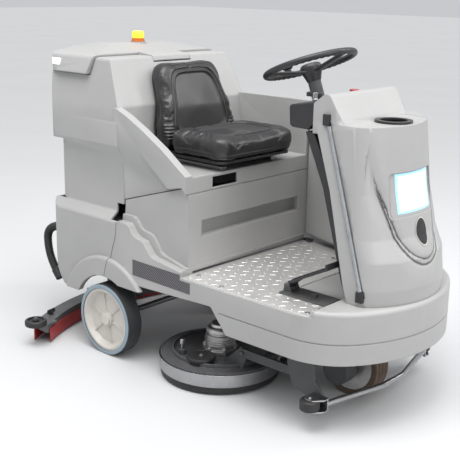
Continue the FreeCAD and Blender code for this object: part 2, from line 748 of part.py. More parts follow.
def column_cover():
    """Black knee panel on the back of the nose."""
    line = [(460, 1005, 0), (498 - GAP, 1005, 0)]
    for z, rear, _front, _half in reversed(nose_levels()[1:5]):
        line.append((rear - GAP, z, 0))
    line.append((704 - GAP, BASE_TOP + 2, 0))
    line.append((704 - COVER_DEPTH, BASE_TOP + 2, 0))
    for z, rear, _front, _half in nose_levels()[1:5]:
        line.append((rear - COVER_DEPTH, z, 0))
    outer = side_prism(line, -NOSE_HALF_TOP + 8, NOSE_HALF_TOP - 8)
    hollow = outer.copy()
    hollow.translate(V(WALL, 0, 0))
    return outer.cut(hollow.common(box(-FAR, FAR, -NOSE_HALF_TOP + 8 + WALL, NOSE_HALF_TOP - 8 - WALL, 0, FAR)))


def dash_box():
    """Instrument housing under the steering wheel, hollow and open towards the hood."""
    outer = side_prism([(389, 1014, 16), (384, 1092, 14), (496 - GAP, 1112, 0), (496 - GAP, 1040, 0),
                        (470, 1012, 10)], -NOSE_HALF_TOP + 6, NOSE_HALF_TOP - 6)
    outer = soften(outer, 8, lambda e: e.BoundBox.YLength < 0.01 and e.BoundBox.XMax < 496 - GAP - 0.5)
    inner = side_prism([(396, 1021, 10), (392, dash_top(392) - WALL, 8), (520, dash_top(520) - WALL, 0),
                        (520, 1040, 0), (466, 1019, 6)],
                       -NOSE_HALF_TOP + 6 + WALL, NOSE_HALF_TOP - 6 - WALL)
    body = outer.cut(inner).cut(steer_rod(COLUMN_R + SEAT, -220, 40))
    body = body.cut(rod(4 + RUN, (KEY_X, KEY_Y, 1040), AXIS_Z, 120))
    body = body.cut(rod(8 + RUN, (ESTOP_X, ESTOP_Y, 1040), AXIS_Z, 120))
    return body.cut(box(LEVER_X - 12, LEVER_X + 12, LEVER_Y - 4 - GAP, LEVER_Y + 4 + GAP, 1070, 1150))


# ================================================================ steering
def steer_point(along, radius=0.0, angle=0.0):
    """A point on or round the steering axis; along is measured up from the rim's plane."""
    tilt = math.radians(STEER_TILT)
    axis = V(-math.sin(tilt), 0, math.cos(tilt))
    forward = V(math.cos(tilt), 0, math.sin(tilt))
    a = math.radians(angle)
    centre = V(STEER_X, 0, STEER_Z)
    return centre + axis * along + (forward * math.cos(a) + AXIS_Y * math.sin(a)) * radius


def steer_axis():
    tilt = math.radians(STEER_TILT)
    return V(-math.sin(tilt), 0, math.cos(tilt))


def steer_rod(radius, low, high):
    start = steer_point(low)
    return rod(radius, (start.x, start.y, start.z), steer_axis(), high - low)


def steering_column():
    """Fixed tube that carries the steering shaft, up through the instrument housing."""
    tube = steer_rod(COLUMN_R, -185, -62).cut(steer_rod(STEER_SHAFT_R + RUN, -200, -50))
    foot = side_prism([(398, 1046, 0), (430, 1034, 0), (497 - SEAT, 1034, 0), (497 - SEAT, 1042, 0),
                       (434, 1044, 0), (398, 1058, 0)], -30, 30)
    return tube.fuse(foot.cut(steer_rod(COLUMN_R - 1, -260, 0))).removeSplitter()


def steering_wheel():
    """Rim, three spokes and boss, with the shaft that turns in the column."""
    centre = steer_point(0)
    rim = Part.makeTorus(STEER_RIM_R, STEER_TUBE_R, centre, steer_axis())
    boss = steer_rod(30, -58, -6)
    skirt = Part.makeCone(24, 34, 26, steer_point(-60), steer_axis())
    shaft = steer_rod(STEER_SHAFT_R, -180, -20)
    spokes = []
    for angle in (0, 120, 240):
        inner = steer_point(-28, 22, angle)
        outer = steer_point(-2, STEER_RIM_R - 3, angle)
        run = outer - inner
        spokes.append(rod(8, (inner.x, inner.y, inner.z), run, run.Length))
    knob_seat = steer_point(0, STEER_RIM_R, KNOB_ANGLE)
    post = rod(5, (knob_seat.x, knob_seat.y, knob_seat.z), steer_axis(), 34)
    return fuse([rim, boss, skirt, shaft, post] + spokes)



def spinner_knob():
    """Free-turning knob on the rim."""
    base = steer_point(STEER_TUBE_R + 3, STEER_RIM_R, KNOB_ANGLE)
    stem = rod(13, (base.x, base.y, base.z), steer_axis(), 10)
    top = steer_point(STEER_TUBE_R + 11, STEER_RIM_R, KNOB_ANGLE)
    head = rod(KNOB_R, (top.x, top.y, top.z), steer_axis(), 22)
    head = soften(head, 8, lambda e: e.Length > 6 * KNOB_R)
    hole = rod(5 + RUN, (base.x, base.y, base.z), steer_axis(), 20)
    return stem.fuse(head).removeSplitter().cut(hole)


# ================================================================ dash controls
def dash_top(x):
    """Height of the instrument housing's top at a given x."""
    return 1092 + (x - 384) * 20.0 / 112.0


def key_switch():
    """Key in its barrel, right of the column."""
    x, y = KEY_X, KEY_Y
    z = dash_top(x)
    barrel = rod(11, (x, y, z + 2 + GAP), AXIS_Z, 6)
    stem = rod(4, (x, y, z + GAP - 16), AXIS_Z, 18)
    bow = box(x - 2, x + 2, y - 12, y + 12, z + 6, z + 30)
    return fuse([barrel, stem, bow])


def estop_button():
    """Mushroom emergency stop, left of the column."""
    x, y = ESTOP_X, ESTOP_Y
    z = dash_top(x)
    stem = rod(8, (x, y, z - 16), AXIS_Z, 30)
    head = rod(18, (x, y, z + 13), AXIS_Z, 12)
    return stem.fuse(soften(head, 4, lambda e: e.BoundBox.ZMin > z + 24.9)).removeSplitter()


def drive_lever():
    """Direction lever beside the column: a stem with a flat black grip."""
    x, y = LEVER_X, LEVER_Y
    z = dash_top(x)
    stem = rod(4, (x, y, z - 14), AXIS_Z, 30)
    hub = cross_rod(5, x, z - 14, y - 12, y + 12)
    grip = slab(x - 52, x + 8, y - 12, y + 12, z + 12, z + 27, 8, 4)
    return fuse([stem, hub, grip])


# ================================================================ drive unit
def drive_fork():
    """Turntable, shaft and single-sided fork leg with the gearbox that carries the drive wheel."""
    plate = rod(95, (DRIVE_X, 0, 280.0 - 26.0), AXIS_Z, 26.0 - GAP)
    pivot = rod(45, (DRIVE_X, 0, 270), AXIS_Z, 70)
    side = -(DRIVE_W / 2 + 12)
    leg = side_prism([(DRIVE_X - 60, 262, 0), (DRIVE_X + 60, 262, 0), (DRIVE_X + 34, 100, 30),
                      (DRIVE_X - 34, 100, 30)], side - 20, side)
    shaft = cross_rod(DRIVE_AXLE_R, DRIVE_X, DRIVE_R, side - 10, DRIVE_W / 2 + DRIVE_AXLE_OUT)
    return fuse([plate, pivot, leg, shaft])


def drive_motor():
    """Traction motor on the outside of the gearbox."""
    start = -(DRIVE_W / 2 + 12 + 20) - SEAT
    body = cross_rod(MOTOR_R, DRIVE_X, DRIVE_R + 2, start - MOTOR_L, start)
    body = soften(body, 6, lambda e: e.BoundBox.YMax < start - MOTOR_L + 0.01)
    return body


def drive_hub():
    """Aluminium hub, bored for the shaft."""
    half = DRIVE_W / 2
    rim = DRIVE_R - DRIVE_TYRE_T
    disc = cross_rod(rim - SEAT, DRIVE_X, DRIVE_R, -half + 2, half - 2)
    dish = cross_rod(rim - 16, DRIVE_X, DRIVE_R, half - 22, half)
    boss = cross_rod(30, DRIVE_X, DRIVE_R, half - 30, half - 2)
    hub = disc.cut(dish).fuse(boss)
    return hub.cut(cross_rod(DRIVE_AXLE_R + RUN, DRIVE_X, DRIVE_R, -FAR / 2, FAR / 2)).removeSplitter()


def grooved_tyre(x, z, radius, bore, y0, y1, grooves, depth):
    """A tyre with square grooves round its tread."""
    tyre = cross_rod(radius, x, z, y0, y1)
    tyre = soften(tyre, 5, lambda e: e.Length > 6 * radius)
    tyre = tyre.cut(cross_rod(bore, x, z, y0, y1))
    width = y1 - y0
    for i in range(grooves):
        y = y0 + width * (i + 1) / (grooves + 1)
        cutter = ring(radius + 5, radius - depth, (x, y - 2, z), AXIS_Y, 4)
        tyre = tyre.cut(cutter)
    return tyre


def drive_tyre():
    half = DRIVE_W / 2
    return grooved_tyre(DRIVE_X, DRIVE_R, DRIVE_R, DRIVE_R - DRIVE_TYRE_T, -half, half, 3, 4)


# ================================================================ rear wheels
def rear_tyre(side):
    y0, y1 = sorted((side * (WHEEL_Y - WHEEL_W / 2), side * (WHEEL_Y + WHEEL_W / 2)))
    return grooved_tyre(WHEEL_X, WHEEL_R, WHEEL_R, WHEEL_R - TYRE_T, y0, y1, 0, 0)


def rear_hub(side):
    """Dished hub with six thin ribs and a round cap."""
    face = WHEEL_Y + WHEEL_W / 2
    back = WHEEL_Y - WHEEL_W / 2
    rim = WHEEL_R - TYRE_T - SEAT
    barrel = cross_rod(rim, WHEEL_X, WHEEL_R, back + 2, face - 3)
    dish = Part.makeCone(rim - 26, rim - 10, 22, V(WHEEL_X, face - 25, WHEEL_R), AXIS_Y)
    rear_dish = cross_rod(rim - 12, WHEEL_X, WHEEL_R, back, back + 28)
    boss = cross_rod(30, WHEEL_X, WHEEL_R, back + 4, face - 14)
    cap = cross_rod(CAP_R, WHEEL_X, WHEEL_R, face - 14, face - 6)
    hub = barrel.cut([dish, rear_dish])
    ribs = []
    for i in range(6):
        rib = box(WHEEL_X + 26, WHEEL_X + rim - 14, face - 26, face - 20, WHEEL_R - 2, WHEEL_R + 2)
        ribs.append(turned(rib, (WHEEL_X, 0, WHEEL_R), AXIS_Y, 60 * i + 18))
    hub = fuse([hub, boss, cap] + ribs)
    hub = hub.cut(cross_rod(AXLE_R + RUN, WHEEL_X, WHEEL_R, 0, axle_end() + SEAT))
    return hub if side > 0 else mirrored(hub)


# ================================================================ pedal
def pedal_base():
    """Plate with two ears and the pin that the pedal turns on."""
    floor = DECK_Z + 1.2 + SEAT
    plate = box(PEDAL_X - 18, PEDAL_X + PEDAL_L - 20, PEDAL_Y - 46, PEDAL_Y + 46, floor, floor + 5)
    ears = []
    for side in (-1, 1):
        y0, y1 = sorted((PEDAL_Y + side * 20, PEDAL_Y + side * 26))
        ears.append(side_prism([(PEDAL_X - 16, floor, 0), (PEDAL_X + 22, floor, 0),
                                (PEDAL_X + 10, PEDAL_PIVOT_Z + 10, 8), (PEDAL_X - 10, PEDAL_PIVOT_Z + 10, 8)],
                               y0, y1))
    pin = cross_rod(PEDAL_PIN_R, PEDAL_X, PEDAL_PIVOT_Z, PEDAL_Y - 28, PEDAL_Y + 28)
    stop = box(PEDAL_X + 96, PEDAL_X + 116, PEDAL_Y - 9, PEDAL_Y + 9, floor, floor + 16)
    return fuse([plate, pin, stop] + ears)


def accelerator_pedal():
    """Treadle with raised bars, hinged at the heel."""
    barrel = cross_rod(11, 0, 0, -20 + GAP, 20 - GAP)
    tread = box(6, PEDAL_L, -PEDAL_HALF, PEDAL_HALF, 6, 15)
    tread = tread.cut([box(0, 22, y0, y0 + 24, 0, 20) for y0 in (-PEDAL_HALF - 4, PEDAL_HALF - 20)])
    web = side_prism([(0, -6, 0), (70, 8, 0), (0, 10, 0)], -12, 12)
    bars = [box(40 + 22 * i, 48 + 22 * i, -PEDAL_HALF + 6, PEDAL_HALF - 6, 14, 18) for i in range(7)]
    heel = side_prism([(PEDAL_L - 6, 6, 0), (PEDAL_L, 6, 0), (PEDAL_L + 8, 26, 0), (PEDAL_L + 2, 28, 0)],
                      -PEDAL_HALF, PEDAL_HALF)
    pedal = fuse([barrel, tread, web, heel] + bars).cut(cross_rod(PEDAL_PIN_R + RUN, 0, 0, -60, 60))
    pedal.rotate(V(0, 0, 0), AXIS_Y, -PEDAL_ANGLE)
    pedal.translate(V(PEDAL_X, PEDAL_Y, PEDAL_PIVOT_Z))
    return pedal


# ================================================================ bumper
def tube_path(points, radius, bend):
    """A round tube through points, with the same bend radius at each turn."""
    edges = []
    start = points[0]
    for i in range(1, len(points) - 1):
        back = points[i - 1] - points[i]
        ahead = points[i + 1] - points[i]
        half = back.getAngle(ahead) / 2
        reach = bend / math.tan(half)
        back.normalize()
        ahead.normalize()
        middle = back + ahead
        middle.normalize()
        first = points[i] + back * reach
        last = points[i] + ahead * reach
        top = points[i] + middle * (bend / math.sin(half) - bend)
        edges.append(Part.LineSegment(start, first).toShape())
        edges.append(Part.Arc(first, top, last).toShape())
        start = last
    edges.append(Part.LineSegment(start, points[-1]).toShape())
    path = Part.Wire(edges)
    run = points[1] - points[0]
    section = Part.Wire(Part.Circle(points[0], run, radius).toShape())
    return path.makePipeShell([section], True, True)


def bumper_tube():
    """Bowed tube with a fork plate over and under each roller."""
    end_x = BUMP_ROLLER_X + 34
    points = [V(end_x + 2, -BUMP_ROLLER_Y + 42, BUMP_Z), V(BUMP_FRONT_X - 40, -235, BUMP_Z),
              V(BUMP_FRONT_X, -70, BUMP_Z), V(BUMP_FRONT_X, 70, BUMP_Z),
              V(BUMP_FRONT_X - 40, 235, BUMP_Z), V(end_x + 2, BUMP_ROLLER_Y - 42, BUMP_Z)]
    tube = tube_path(points, BUMP_TUBE_R, 110)
    pieces = [tube]
    half = BUMP_ROLLER_T / 2
    for side in (-1, 1):
        y = side * BUMP_ROLLER_Y
        inner = side * (326.0 + SEAT)
        for z in (BUMP_Z + half + GAP, BUMP_Z - half - GAP - 5):
            plate = plan_prism([(BUMP_ROLLER_X - 18, y + side * 16, 12), (BUMP_ROLLER_X + 20, y + side * 16, 14),
                                (end_x + 14, inner + side * 26, 4),
                                (end_x + 14, inner, 0), (BUMP_ROLLER_X - 18, inner, 0)],
                               z, z + 5)
            pieces.append(plate)
        pin_z = BUMP_Z - half - GAP - 5
        pieces.append(rod(BUMP_PIN_R, (BUMP_ROLLER_X, y, pin_z), AXIS_Z, BUMP_ROLLER_T + 2 * GAP + 14))
        web_0, web_1 = sorted((inner, inner + side * 6))
        low = BUMP_Z - half - GAP - 4
        pieces.append(box(BUMP_ROLLER_X - 16, end_x + 12, web_0, web_1, low, BUMP_Z + half + GAP + 4))
    return fuse(pieces)


def bumper_roller(side):
    """Non-marking roller at the end of the bumper."""
    y = side * BUMP_ROLLER_Y
    roller = rod(BUMP_ROLLER_R, (BUMP_ROLLER_X, y, BUMP_Z - BUMP_ROLLER_T / 2), AXIS_Z, BUMP_ROLLER_T)
    roller = soften(roller, 7, lambda e: e.Length > 6 * BUMP_ROLLER_R)
    return roller.cut(rod(BUMP_PIN_R + RUN, (BUMP_ROLLER_X, y, 0), AXIS_Z, FAR))


# ================================================================ brush deck
def twin_discs(radius, low, high):
    """The outline of the two brush housings, side by side."""
    discs = [rod(radius, (RING_X, side * RING_Y, low), AXIS_Z, high - low) for side in (-1, 1)]
    bridge = box(RING_X - radius * 0.62, RING_X + radius * 0.62, -RING_Y, RING_Y, low, high)
    return fuse(discs + [bridge])


def deck_arms():
    """Pair of lift arms joined by a cross tube."""
    pieces = []
    for side in (-1, 1):
        y0, y1 = sorted((side * (ARM_Y - ARM_T / 2), side * (ARM_Y + ARM_T / 2)))
        ends = [(ARM_REAR_X - 18, ARM_REAR_Z - 17, 14), (ARM_PIVOT_X + 18, ARM_PIVOT_Z - 17, 14),
                (ARM_PIVOT_X + 18, ARM_PIVOT_Z + 17, 14), (ARM_REAR_X - 18, ARM_REAR_Z + 17, 14)]
        arm = side_prism(ends, y0, y1)
        pieces.append(arm)
    pieces.append(cross_rod(14, (ARM_REAR_X + ARM_PIVOT_X) / 2 - 40, ARM_PIVOT_Z, -ARM_Y, ARM_Y))
    arms = fuse(pieces)
    arms = arms.cut(cross_rod(ARM_PIN_R + RUN, ARM_PIVOT_X, ARM_PIVOT_Z, -FAR, FAR))
    return arms.cut(cross_rod(ARM_PIN_R + RUN, ARM_REAR_X, ARM_REAR_Z, -FAR, FAR))


def brush_deck():
    """Pressed deck plate with arm lugs, cross pins and shaft holes."""
    plate = twin_discs(RING_R - 14, DECK_PLATE_Z, DECK_PLATE_Z + DECK_PLATE_T)
    rib = twin_discs(RING_R - 50, DECK_PLATE_Z, DECK_PLATE_Z + 22).cut(
        twin_discs(RING_R - 56, DECK_PLATE_Z - 1, DECK_PLATE_Z + 30))
    lip = twin_discs(RING_R - RING_T - SEAT, DECK_PLATE_Z - 20, DECK_PLATE_Z + DECK_PLATE_T).cut(
        twin_discs(RING_R - RING_T - SEAT - 5, DECK_PLATE_Z - 21, DECK_PLATE_Z + DECK_PLATE_T + 1))
    join = twin_discs(RING_R - RING_T - SEAT, DECK_PLATE_Z, DECK_PLATE_Z + 3).cut(
        twin_discs(RING_R - 20, DECK_PLATE_Z - 1, DECK_PLATE_Z + 4))
    pieces = [plate, rib, lip, join]
    for side in (-1, 1):
        lug_0, lug_1 = sorted((side * (ARM_Y - ARM_T / 2 - GAP - 8), side * (ARM_Y - ARM_T / 2 - GAP)))
        pieces.append(side_prism([(ARM_REAR_X - 110, DECK_PLATE_Z + 2, 0), (ARM_REAR_X - 10, DECK_PLATE_Z + 2, 0),
                                  (ARM_REAR_X + 18, ARM_REAR_Z + 16, 12), (ARM_REAR_X - 18, ARM_REAR_Z + 16, 12)],
                                 lug_0, lug_1))
        pin_0, pin_1 = sorted((side * (ARM_Y - ARM_T / 2 - 6), side * (ARM_Y + ARM_T / 2 + 8)))
        pieces.append(cross_rod(ARM_PIN_R, ARM_REAR_X, ARM_REAR_Z, pin_0, pin_1))
    guide = rod(14, (LATCH_X, LATCH_Y, DECK_PLATE_Z + 2), AXIS_Z, 26)
    pieces.append(guide)
    deck = fuse(pieces)
    deck = deck.cut(rod(LATCH_R + RUN, (LATCH_X, LATCH_Y, 0), AXIS_Z, FAR))
    for side in (-1, 1):
        deck = deck.cut(rod(BRUSH_SHAFT_R + 6, (RING_X, side * RING_Y, 0), AXIS_Z, 120))
    return deck


def latch_pin():
    """Spring plunger that holds the skirt hoop, with a black knob."""
    pin = rod(LATCH_R, (LATCH_X, LATCH_Y, RING_HIGH - 8), AXIS_Z, 60)
    knob = rod(10, (LATCH_X, LATCH_Y, DECK_PLATE_Z + 46), AXIS_Z, 24)
    knob = soften(knob, 4, lambda e: e.Length > 60)
    return pin.fuse(knob).removeSplitter()


def ring_guard():
    """Bright hoop round both brushes."""
    outer = twin_discs(RING_R, RING_LOW, RING_HIGH)
    inner = twin_discs(RING_R - RING_T, RING_LOW - 1, RING_HIGH + 1)
    bead = twin_discs(RING_R + 3, RING_HIGH - 5, RING_HIGH)
    bead = bead.cut(twin_discs(RING_R - RING_T, RING_HIGH - 6, RING_HIGH + 1))
    return outer.cut(inner).fuse(bead).removeSplitter()


def deck_skirt():
    """Rubber splash skirt inside the hoop."""
    outer = twin_discs(RING_R - RING_T - SEAT, SKIRT_LOW, RING_HIGH - 24)
    return outer.cut(twin_discs(RING_R - RING_T - SEAT - 5, SKIRT_LOW - 1, RING_HIGH))


def brush_motors():
    """Two brush motors, each with its shaft, standing on the deck plate."""
    motors = []
    base = DECK_PLATE_Z + DECK_PLATE_T + SEAT
    for side in (-1, 1):
        y = side * RING_Y
        flange = rod(BRUSH_MOTOR_R + 8, (RING_X, y, base), AXIS_Z, 22)
        can = rod(BRUSH_MOTOR_R, (RING_X, y, base + 20), AXIS_Z, 96)
        can = soften(can, 8, lambda e: e.BoundBox.ZMin > base + 115)
        shaft = rod(BRUSH_SHAFT_R, (RING_X, y, BRUSH_HIGH - 30), AXIS_Z, base - BRUSH_HIGH + 40)
        motors.append(fuse([flange, can, shaft]))
    return group(motors)


def brush(side):
    """Scrub brush: plastic block, hub and a ring of bristle."""
    y = side * RING_Y
    block = rod(BRUSH_R - 8, (RING_X, y, BRUSH_HIGH - 22), AXIS_Z, 22)
    bristle = ring(BRUSH_R, 70, (RING_X, y, BRUSH_LOW), AXIS_Z, BRUSH_HIGH - 22 - BRUSH_LOW)
    return fuse([block, bristle]).cut(rod(BRUSH_SHAFT_R + RUN, (RING_X, y, 0), AXIS_Z, FAR))


# ================================================================ squeegee
def squeegee_radius():
    """Radius of the arc through the middle and the two tips."""
    rise = SQ_TIP_X - SQ_MID_X
    return (SQ_HALF ** 2 + rise ** 2) / (2 * rise)


def squeegee_band(outer, inner, low, high, half):
    """A curved band behind the machine; outer and inner are offsets from the blade's arc."""
    radius = squeegee_radius()
    centre_x = SQ_MID_X + radius
    band = ring(radius + outer, radius + inner, (centre_x, 0, low), AXIS_Z, high - low)
    return band.common(box(-FAR, centre_x - radius * 0.5, -half, half, low - 1, high + 1))


def squeegee_body():
    """Cast body with the hitch plate, swing bearing, suction spigot and roller brackets."""
    body = squeegee_band(-6, -SQ_BODY_D, SQ_BODY_LOW, SQ_BODY_HIGH, SQ_HALF)
    hollow = squeegee_band(-14, -SQ_BODY_D + 8, SQ_BODY_LOW - 2, SQ_BODY_HIGH - 6, SQ_HALF - 8)
    body = body.cut(hollow)
    mid_x = SQ_MID_X + SQ_BODY_D / 2
    spigot = rod(30, (mid_x + 4, 0, SQ_BODY_HIGH - 6), AXIS_Z, 66)
    plate = plan_prism([(mid_x + 46, -70, 20), (SQ_SWING_X + 34, -34, 24), (SQ_SWING_X + 34, 34, 24),
                        (mid_x + 46, 70, 20), (mid_x - 20, 90, 10), (mid_x - 20, -90, 10)],
                       SQ_BODY_HIGH - 2, SQ_BODY_HIGH + 8)
    pivot = rod(12, (SQ_SWING_X, 0, SQ_BODY_HIGH), AXIS_Z, 64)
    body = fuse([body, plate, spigot, pivot])
    body = body.cut(rod(25, (mid_x + 4, 0, SQ_BODY_LOW), AXIS_Z, 200))
    brackets = []
    for side in (-1, 1):
        y = side * SQ_ROLLER_Y
        arm = plan_prism([(SQ_ROLLER_X - 16, y - side * 4, 6), (SQ_ROLLER_X - 16, y + side * 12, 8),
                          (SQ_ROLLER_X + 16, y + side * 12, 8), (SQ_ROLLER_X + 16, y - side * 20, 8),
                          (-620, side * 470, 0), (-676, side * 470, 0)],
                         SQ_BODY_HIGH - 9, SQ_BODY_HIGH)
        post = rod(SQ_PIN_R, (SQ_ROLLER_X, y, SQ_BODY_HIGH - 6), AXIS_Z, 40)
        brackets += [arm, post]
    return fuse([body] + brackets)


def squeegee_blades():
    """Rear and front rubber blades, which follow the body's arc."""
    rear = squeegee_band(0, -5.7, SQ_LOW, SQ_BLADE_TOP, SQ_HALF + 12)
    front = squeegee_band(-SQ_BODY_D - SEAT, -SQ_BODY_D - 5, SQ_LOW + 3, SQ_BLADE_TOP, SQ_HALF - 20)
    return group([rear, front])


def wing_knobs():
    """Wing knobs that clamp the blades and the hitch, as separate solids."""
    knobs = []
    radius = squeegee_radius()
    for angle in (-26, -9, 9, 26):
        a = math.radians(angle)
        x = SQ_MID_X + radius - (radius - 36) * math.cos(a)
        y = (radius - 36) * math.sin(a)
        z = SQ_BODY_HIGH + SEAT
        hub = rod(9, (x, y, z), AXIS_Z, 14)
        wings = slab(x - 24, x + 24, y - 4, y + 4, z + 8, z + 24, 3.9, 0)
        knobs.append(fuse([hub, turned(wings, (x, y, z), AXIS_Z, angle * 3)]))
    return group(knobs)


def squeegee_roller(side):
    """Wall roller at the end of the squeegee: grey hub in a black tyre."""
    y = side * SQ_ROLLER_Y
    low = SQ_BODY_HIGH + SEAT
    tyre = rod(SQ_ROLLER_R, (SQ_ROLLER_X, y, low), AXIS_Z, 26)
    tyre = soften(tyre, 7, lambda e: e.Length > 6 * SQ_ROLLER_R)
    dish = rod(SQ_ROLLER_R - 12, (SQ_ROLLER_X, y, low + 18), AXIS_Z, 20)
    hub = rod(14, (SQ_ROLLER_X, y, low + 10), AXIS_Z, 18)
    return tyre.cut(dish).fuse(hub).cut(rod(SQ_PIN_R + RUN, (SQ_ROLLER_X, y, 0), AXIS_Z, FAR)).removeSplitter()


def squeegee_arm():
    """Trailing arm from the chassis, with the swing bearing at its end."""
    arm = side_prism([(SQ_PIVOT_X + 24, SQ_PIVOT_Z + 20, 16), (SQ_PIVOT_X + 24, SQ_PIVOT_Z - 22, 16),
                      (SQ_SWING_X + 60, 96 + 14, 20), (SQ_SWING_X - 26, 96 + 14, 10),
                      (SQ_SWING_X - 26, 146, 10), (SQ_SWING_X + 60, 150, 30)], -50, 50)
    slot = side_prism([(SQ_PIVOT_X - 30, SQ_PIVOT_Z + 60, 0), (SQ_PIVOT_X - 30, SQ_PIVOT_Z - 60, 0),
                       (SQ_SWING_X + 50, 60, 0), (SQ_SWING_X + 50, 200, 0)], -38, 38)
    arm = arm.cut(slot)
    bearing = rod(26, (SQ_SWING_X, 0, SQ_BODY_HIGH + 8 + GAP), AXIS_Z, 52)
    arm = fuse([arm, bearing])
    arm = arm.cut(rod(12 + RUN, (SQ_SWING_X, 0, 0), AXIS_Z, 170))
    return arm.cut(cross_rod(SQ_PIN_R + RUN, SQ_PIVOT_X, SQ_PIVOT_Z, -FAR, FAR))


# ================================================================ recovery tank
def tank_end_view(inset):
    """The tank seen from behind: wide lower ledge, narrow waist, leaning upper part."""
    half = [(BASE_HALF - inset, 100, 0), (BASE_HALF - inset, WAIST_BOTTOM - 26 - inset, 18),
            (WAIST_HALF + 8 - inset, WAIST_BOTTOM + 8 - inset, 12), (WAIST_HALF - inset, WAIST_TOP - 40, 0),
            (TANK_HALF - inset, WAIST_TOP + 10, 14), (TANK_HALF - 1 - inset, 960, 60),
            (336 - inset, SHOULDER_TOP - inset, 18)]
    return both_sides(half)


def corner_cutters(rear, half, radius, z0, z1):
    """What is left outside a round upright rear corner, on both sides."""
    cutters = []
    for side in (-1, 1):
        y0, y1 = sorted((side * (half - radius), side * (half + 60)))
        block = box(rear - 60, rear + radius, y0, y1, z0, z1)
        cutters.append(block.cut(rod(radius, (rear + radius, side * (half - radius), z0), AXIS_Z, z1 - z0)))
    return cutters


def rear_block(inset):
    """Rear part of the tank, before the wings are added; inset gives its inside."""
    side = [(-548, TANK_BOTTOM, 0), (-640 + inset, TANK_BOTTOM, 20), (-676 + inset, 290, 30),
            (-720 + inset, 400, 40), (-727 + inset, WAIST_BOTTOM - 20, 14),
            (WAIST_REAR_X + inset, WAIST_BOTTOM + 12, 14), (WAIST_REAR_X + inset, WAIST_TOP - 14, 10),
            (TANK_REAR_X + inset, WAIST_TOP + 20, 14), (TANK_REAR_X + inset, TANK_TOP - inset, 6),
            (LID_SEAM_X - 10 + inset, TANK_TOP - inset, 4), (LID_SEAM_X + 12 + inset, SHOULDER_TOP - inset, 8),
            (SHOULDER_X - inset, SHOULDER_TOP - inset, 16), (-323 - inset, 1020, 40),
            (-300 - inset, TRAY_Z - 60, 0)] + [(x - inset, z, 0) for x, z in SEAM_PATH[1:]]
    block = side_prism(side, -FAR / 2, FAR / 2)
    block = block.common(end_prism(tank_end_view(inset), -900, -200))
    corner = 64 - inset
    block = block.cut(corner_cutters(-727 + inset, BASE_HALF - inset, corner, 0, WAIST_BOTTOM + 4))
    block = block.cut(corner_cutters(WAIST_REAR_X + inset, WAIST_HALF + 4 - inset, corner, WAIST_BOTTOM + 4,
                                     WAIST_TOP))
    return block.cut(corner_cutters(TANK_REAR_X + inset, TANK_HALF - inset, corner, WAIST_TOP, FAR))


def wing(top_line, half_in, half_out):
    """Arm-rest wing on the right; the lower rear of its face is set in along a diagonal."""
    foot = [(BOX_FRONT_X, BOX_TOP), (BOX_FRONT_X - 22, SEAM_HIGH)]
    root = [(-340, SEAM_LOW - 10), (-340, top_line[0][1])]
    core = foot + [(SEAM_X, SEAM_LOW)] + root + top_line
    inner_wall = side_prism([(x, z, 0) for x, z in core], -half_in, -(half_in - WING_T + 20))
    band_in = foot + [(-66, 738), (-196, WAIST_TOP - 40), (-340, WAIST_TOP - 40)] + root[1:] + top_line
    band_out = foot + [(-34, 748), (-190, WAIST_TOP + 10), (-340, WAIST_TOP + 10)] + root[1:] + top_line
    wires = []
    for y, line in ((-half_in, band_in), (-half_out, band_out)):
        wires.append(rounded_wire([(x, z, 0) for x, z in line], lambda p, y=y: V(p.x, y, p.y)))
    return inner_wall.fuse(Part.makeLoft(wires, True, True))


def tank_wings():
    right_top = [(-323, 1020), (-262, 996), (-170, 950), (-70, 893), (14, 836), (BOX_FRONT_X, 806)]
    left_top = [(-323, LEFT_WING_Z), (BOX_FRONT_X, LEFT_WING_Z)]
    return [wing(right_top, WAIST_HALF, TANK_HALF - 2), mirrored(wing(left_top, WAIST_HALF, TANK_HALF - 2))]


def tank_hinge_lugs():
    """Lugs inside the rear wall that turn on the frame's pins."""
    _ear_0, lug_0, lug_1, _ear_3 = hinge_ear_y()
    lugs = []
    for side in (-1, 1):
        y0, y1 = sorted((side * (lug_0 + GAP), side * (lug_1 - GAP)))
        lug = box(-684, TILT_X, y0, y1, TILT_Z - 8, TILT_Z + 13)
        lugs.append(lug.fuse(cross_rod(13, TILT_X, TILT_Z, y0, y1)))
    return lugs


def lid_hinge_knuckle(y0, y1, to_x, z_high):
    knuckles = []
    for side in (-1, 1):
        low, high = sorted((side * y0, side * y1))
        knuckle = cross_rod(9, LID_HINGE_X, LID_HINGE_Z, low, high)
        strap = box(min(LID_HINGE_X - 9, to_x), max(LID_HINGE_X - 9, to_x), low, high, LID_HINGE_Z, z_high)
        knuckles.append(knuckle.fuse(strap))
    return knuckles


def hose_stations():
    """Where the drain hose leaves the tank, turns down, turns in and ends."""
    loop_x = REAR_X + HOSE_R
    return V(-716, HOSE_Y, 452), V(loop_x, HOSE_Y, 452), V(loop_x, HOSE_Y, 296), V(-818, HOSE_Y, 240)


